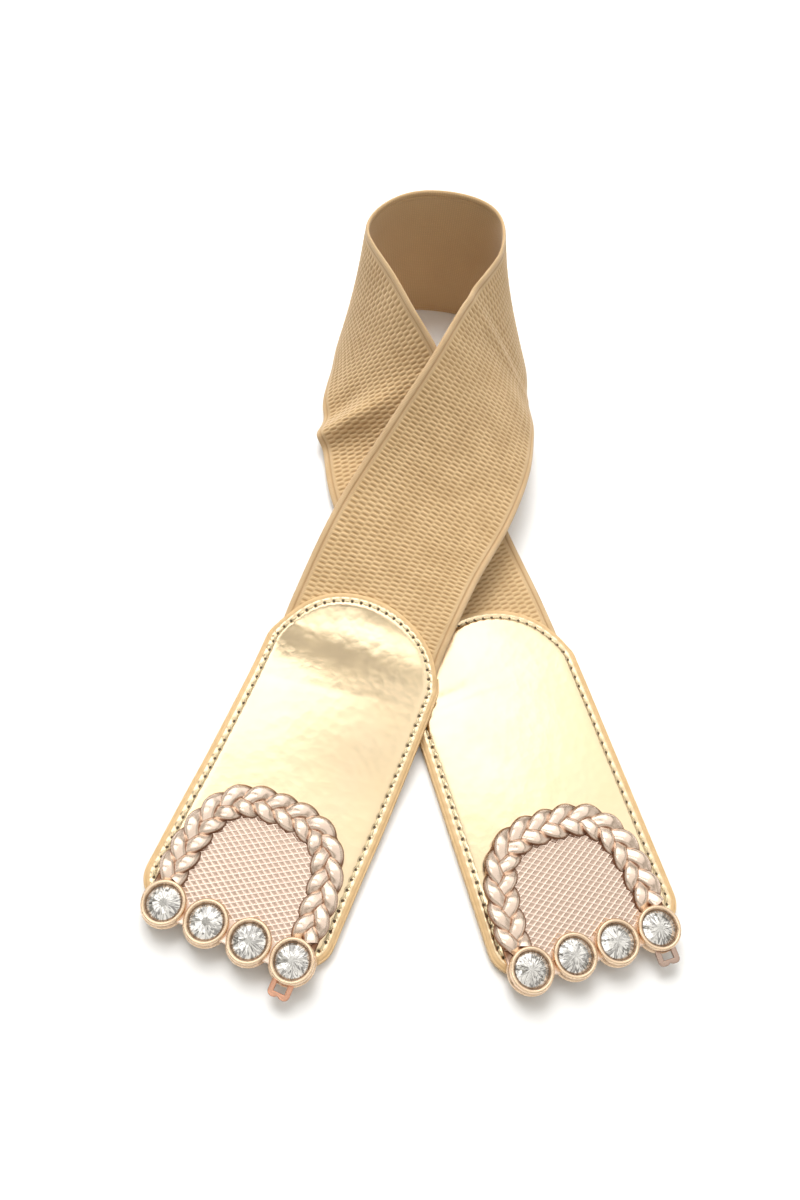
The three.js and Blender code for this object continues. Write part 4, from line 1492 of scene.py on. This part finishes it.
class BeltClaspSettings(bpy.types.PropertyGroup):
    braid_swing: length_setting("Braid swing", "How far a strap swings to each side, in millimetres", 3.2)
    braid_lift: length_setting("Braid lift", "How far a strap rises and dives, in millimetres", 1.05)
    strap_width: length_setting("Strap width", "Width of a braided strap, in millimetres", 4.9)
    strap_crown: length_setting("Strap crown", "Height of a strap's crown, in millimetres", 0.75)
    hatch_length: length_setting("Lattice length", "Diamond's length along the stones, in millimetres", 3.3)
    hatch_height: length_setting("Lattice height", "Diamond's height, in millimetres", 2.05)
    hatch_depth: length_setting("Lattice depth", "Depth between the raised lines, in millimetres", 0.22)
    metal_colour: colour_setting("Metal", "Colour of the plated casting", (0.86, 0.69, 0.57))
    field_colour: colour_setting("Field", "Colour of the crosshatched field", (0.88, 0.72, 0.61))
    bezel_colour: colour_setting("Bezel", "Colour of the bezels", (0.86, 0.65, 0.46))
    left_eye_colour: colour_setting("Left eye", "Colour of the left half's eye", (0.62, 0.34, 0.23))
    right_eye_colour: colour_setting("Right eye", "Colour of the right half's eye", (0.45, 0.33, 0.27))
    # painted shade in the metal's recesses: each colour is scaled by this share
    recess_shade: colour_setting("Recess tint", "Share of each colour in the recesses", (0.26, 0.16, 0.11))
    # painted bright and dark reflections of the cut stones
    stone_bright_reflection: colour_setting("Stone light", "Colour of a stone's bright shards", (0.84, 0.82, 0.78))
    stone_dark_reflection: colour_setting("Stone dark", "Colour of a stone's dark shards", (0.22, 0.21, 0.2))


class BeltStageSettings(bpy.types.PropertyGroup):
    floor_colour: colour_setting("Floor", "Colour of the floor", (0.9, 0.9, 0.9))
    far_light: length_setting("Far light", "Radiance of the softbox beyond the belt", 1.85)
    right_light: length_setting("Right light", "Radiance of the softbox beyond the right side", 1.05)
    top_light: length_setting("Top light", "Radiance of the softbox over the belt", 0.86)
    near_light: length_setting("Near light", "Radiance of the softbox over the camera's left side", 2.0)
    back_light: length_setting("Back light", "Radiance of the softboxes behind the camera", 0.75)
    wall_light: length_setting("Wall light", "Radiance of the upright sheets, in reflections only", 0.5)
    key_light: length_setting("Key light", "Radiance of the light that only shades", 7.5)
    fill_colour: colour_setting("Fill colour", "Colour of the even light from all round", (1.0, 0.94, 0.8))
    fill_light: length_setting("Fill light", "Strength of the even light from all round", 0.32)


class BELT_OT_stage(bpy.types.Operator):
    """Make the camera, the floor and the studio lights"""

    bl_idname = "belt.stage"
    bl_label = "Stage"

    def execute(self, context):
        make_stage(context.scene.belt_stage)
        return {"FINISHED"}


class BELT_OT_webbing(bpy.types.Operator):
    """Make the bumped elastic webbing, in two halves that meet at the back of the loop"""

    bl_idname = "belt.webbing"
    bl_label = "Webbing"

    def execute(self, context):
        make_webbing(context.scene.belt_webbing)
        return {"FINISHED"}


class BELT_OT_tab_panels(bpy.types.Operator):
    """Make the gold front panels of both tabs"""

    bl_idname = "belt.tab_panels"
    bl_label = "Front panels"

    def execute(self, context):
        make_tab_panels(context.scene.belt_tabs)
        return {"FINISHED"}


class BELT_OT_tab_backings(bpy.types.Operator):
    """Make the backing panels of both tabs"""

    bl_idname = "belt.tab_backings"
    bl_label = "Backing panels"

    def execute(self, context):
        make_tab_backings(context.scene.belt_tabs)
        return {"FINISHED"}


class BELT_OT_tab_edges(bpy.types.Operator):
    """Make the painted edges of both tabs"""

    bl_idname = "belt.tab_edges"
    bl_label = "Painted edges"

    def execute(self, context):
        make_tab_edges(context.scene.belt_tabs)
        return {"FINISHED"}


class BELT_OT_stitches(bpy.types.Operator):
    """Make the thread stitches round both tabs"""

    bl_idname = "belt.stitches"
    bl_label = "Stitches"

    def execute(self, context):
        make_stitches(context.scene.belt_tabs)
        return {"FINISHED"}


class BELT_OT_clasp_plates(bpy.types.Operator):
    """Make the base plates of both clasp halves"""

    bl_idname = "belt.clasp_plates"
    bl_label = "Clasp plates"

    def execute(self, context):
        make_clasp_plates(context.scene.belt_clasp)
        return {"FINISHED"}


class BELT_OT_crosshatch(bpy.types.Operator):
    """Make the crosshatched fields inside the braids"""

    bl_idname = "belt.crosshatch"
    bl_label = "Crosshatched fields"

    def execute(self, context):
        make_crosshatch(context.scene.belt_clasp)
        return {"FINISHED"}


class BELT_OT_braids(bpy.types.Operator):
    """Make the cast braids"""

    bl_idname = "belt.braids"
    bl_label = "Braids"

    def execute(self, context):
        make_braids(context.scene.belt_clasp)
        return {"FINISHED"}


class BELT_OT_bezels(bpy.types.Operator):
    """Make the bezels that hold the stones"""

    bl_idname = "belt.bezels"
    bl_label = "Bezels"

    def execute(self, context):
        make_bezels(context.scene.belt_clasp)
        return {"FINISHED"}


class BELT_OT_eyes(bpy.types.Operator):
    """Make the eye of each clasp half"""

    bl_idname = "belt.eyes"
    bl_label = "Eyes"

    def execute(self, context):
        make_eyes(context.scene.belt_clasp)
        return {"FINISHED"}


class BELT_OT_fastenings(bpy.types.Operator):
    """Make the hook and the two posts under each clasp half"""

    bl_idname = "belt.fastenings"
    bl_label = "Hooks and posts"

    def execute(self, context):
        make_fastenings(context.scene.belt_clasp)
        return {"FINISHED"}


class BELT_OT_stones(bpy.types.Operator):
    """Make the cut stones of both clasp halves"""

    bl_idname = "belt.stones"
    bl_label = "Stones"

    def execute(self, context):
        make_stones(context.scene.belt_clasp)
        return {"FINISHED"}


OPERATORS = (
    BELT_OT_stage,
    BELT_OT_webbing,
    BELT_OT_tab_panels,
    BELT_OT_tab_backings,
    BELT_OT_tab_edges,
    BELT_OT_stitches,
    BELT_OT_clasp_plates,
    BELT_OT_crosshatch,
    BELT_OT_braids,
    BELT_OT_bezels,
    BELT_OT_eyes,
    BELT_OT_fastenings,
    BELT_OT_stones,
)


class BELT_PT_sidebar(bpy.types.Panel):
    """Lists the belt's operators in the 3D view's sidebar"""

    bl_idname = "BELT_PT_sidebar"
    bl_label = "Stretch Belt"
    bl_space_type = "VIEW_3D"
    bl_region_type = "UI"
    bl_category = "Belt"

    def draw(self, context):
        for operator in OPERATORS:
            self.layout.operator(operator.bl_idname)


SETTINGS = {
    "belt_webbing": BeltWebbingSettings,
    "belt_tabs": BeltTabSettings,
    "belt_clasp": BeltClaspSettings,
    "belt_stage": BeltStageSettings,
}


def register():
    for cls in (*SETTINGS.values(), *OPERATORS, BELT_PT_sidebar):
        bpy.utils.register_class(cls)
    for name, cls in SETTINGS.items():
        setattr(bpy.types.Scene, name, bpy.props.PointerProperty(type=cls))


def unregister():
    for name in SETTINGS:
        delattr(bpy.types.Scene, name)
    for cls in (BELT_PT_sidebar, *reversed(OPERATORS), *reversed(SETTINGS.values())):
        bpy.utils.unregister_class(cls)


def main():
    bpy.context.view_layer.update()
    register()
    for operator in OPERATORS:
        group, name = operator.bl_idname.split(".")
        getattr(getattr(bpy.ops, group), name)()


if __name__ == "__main__":
    main()
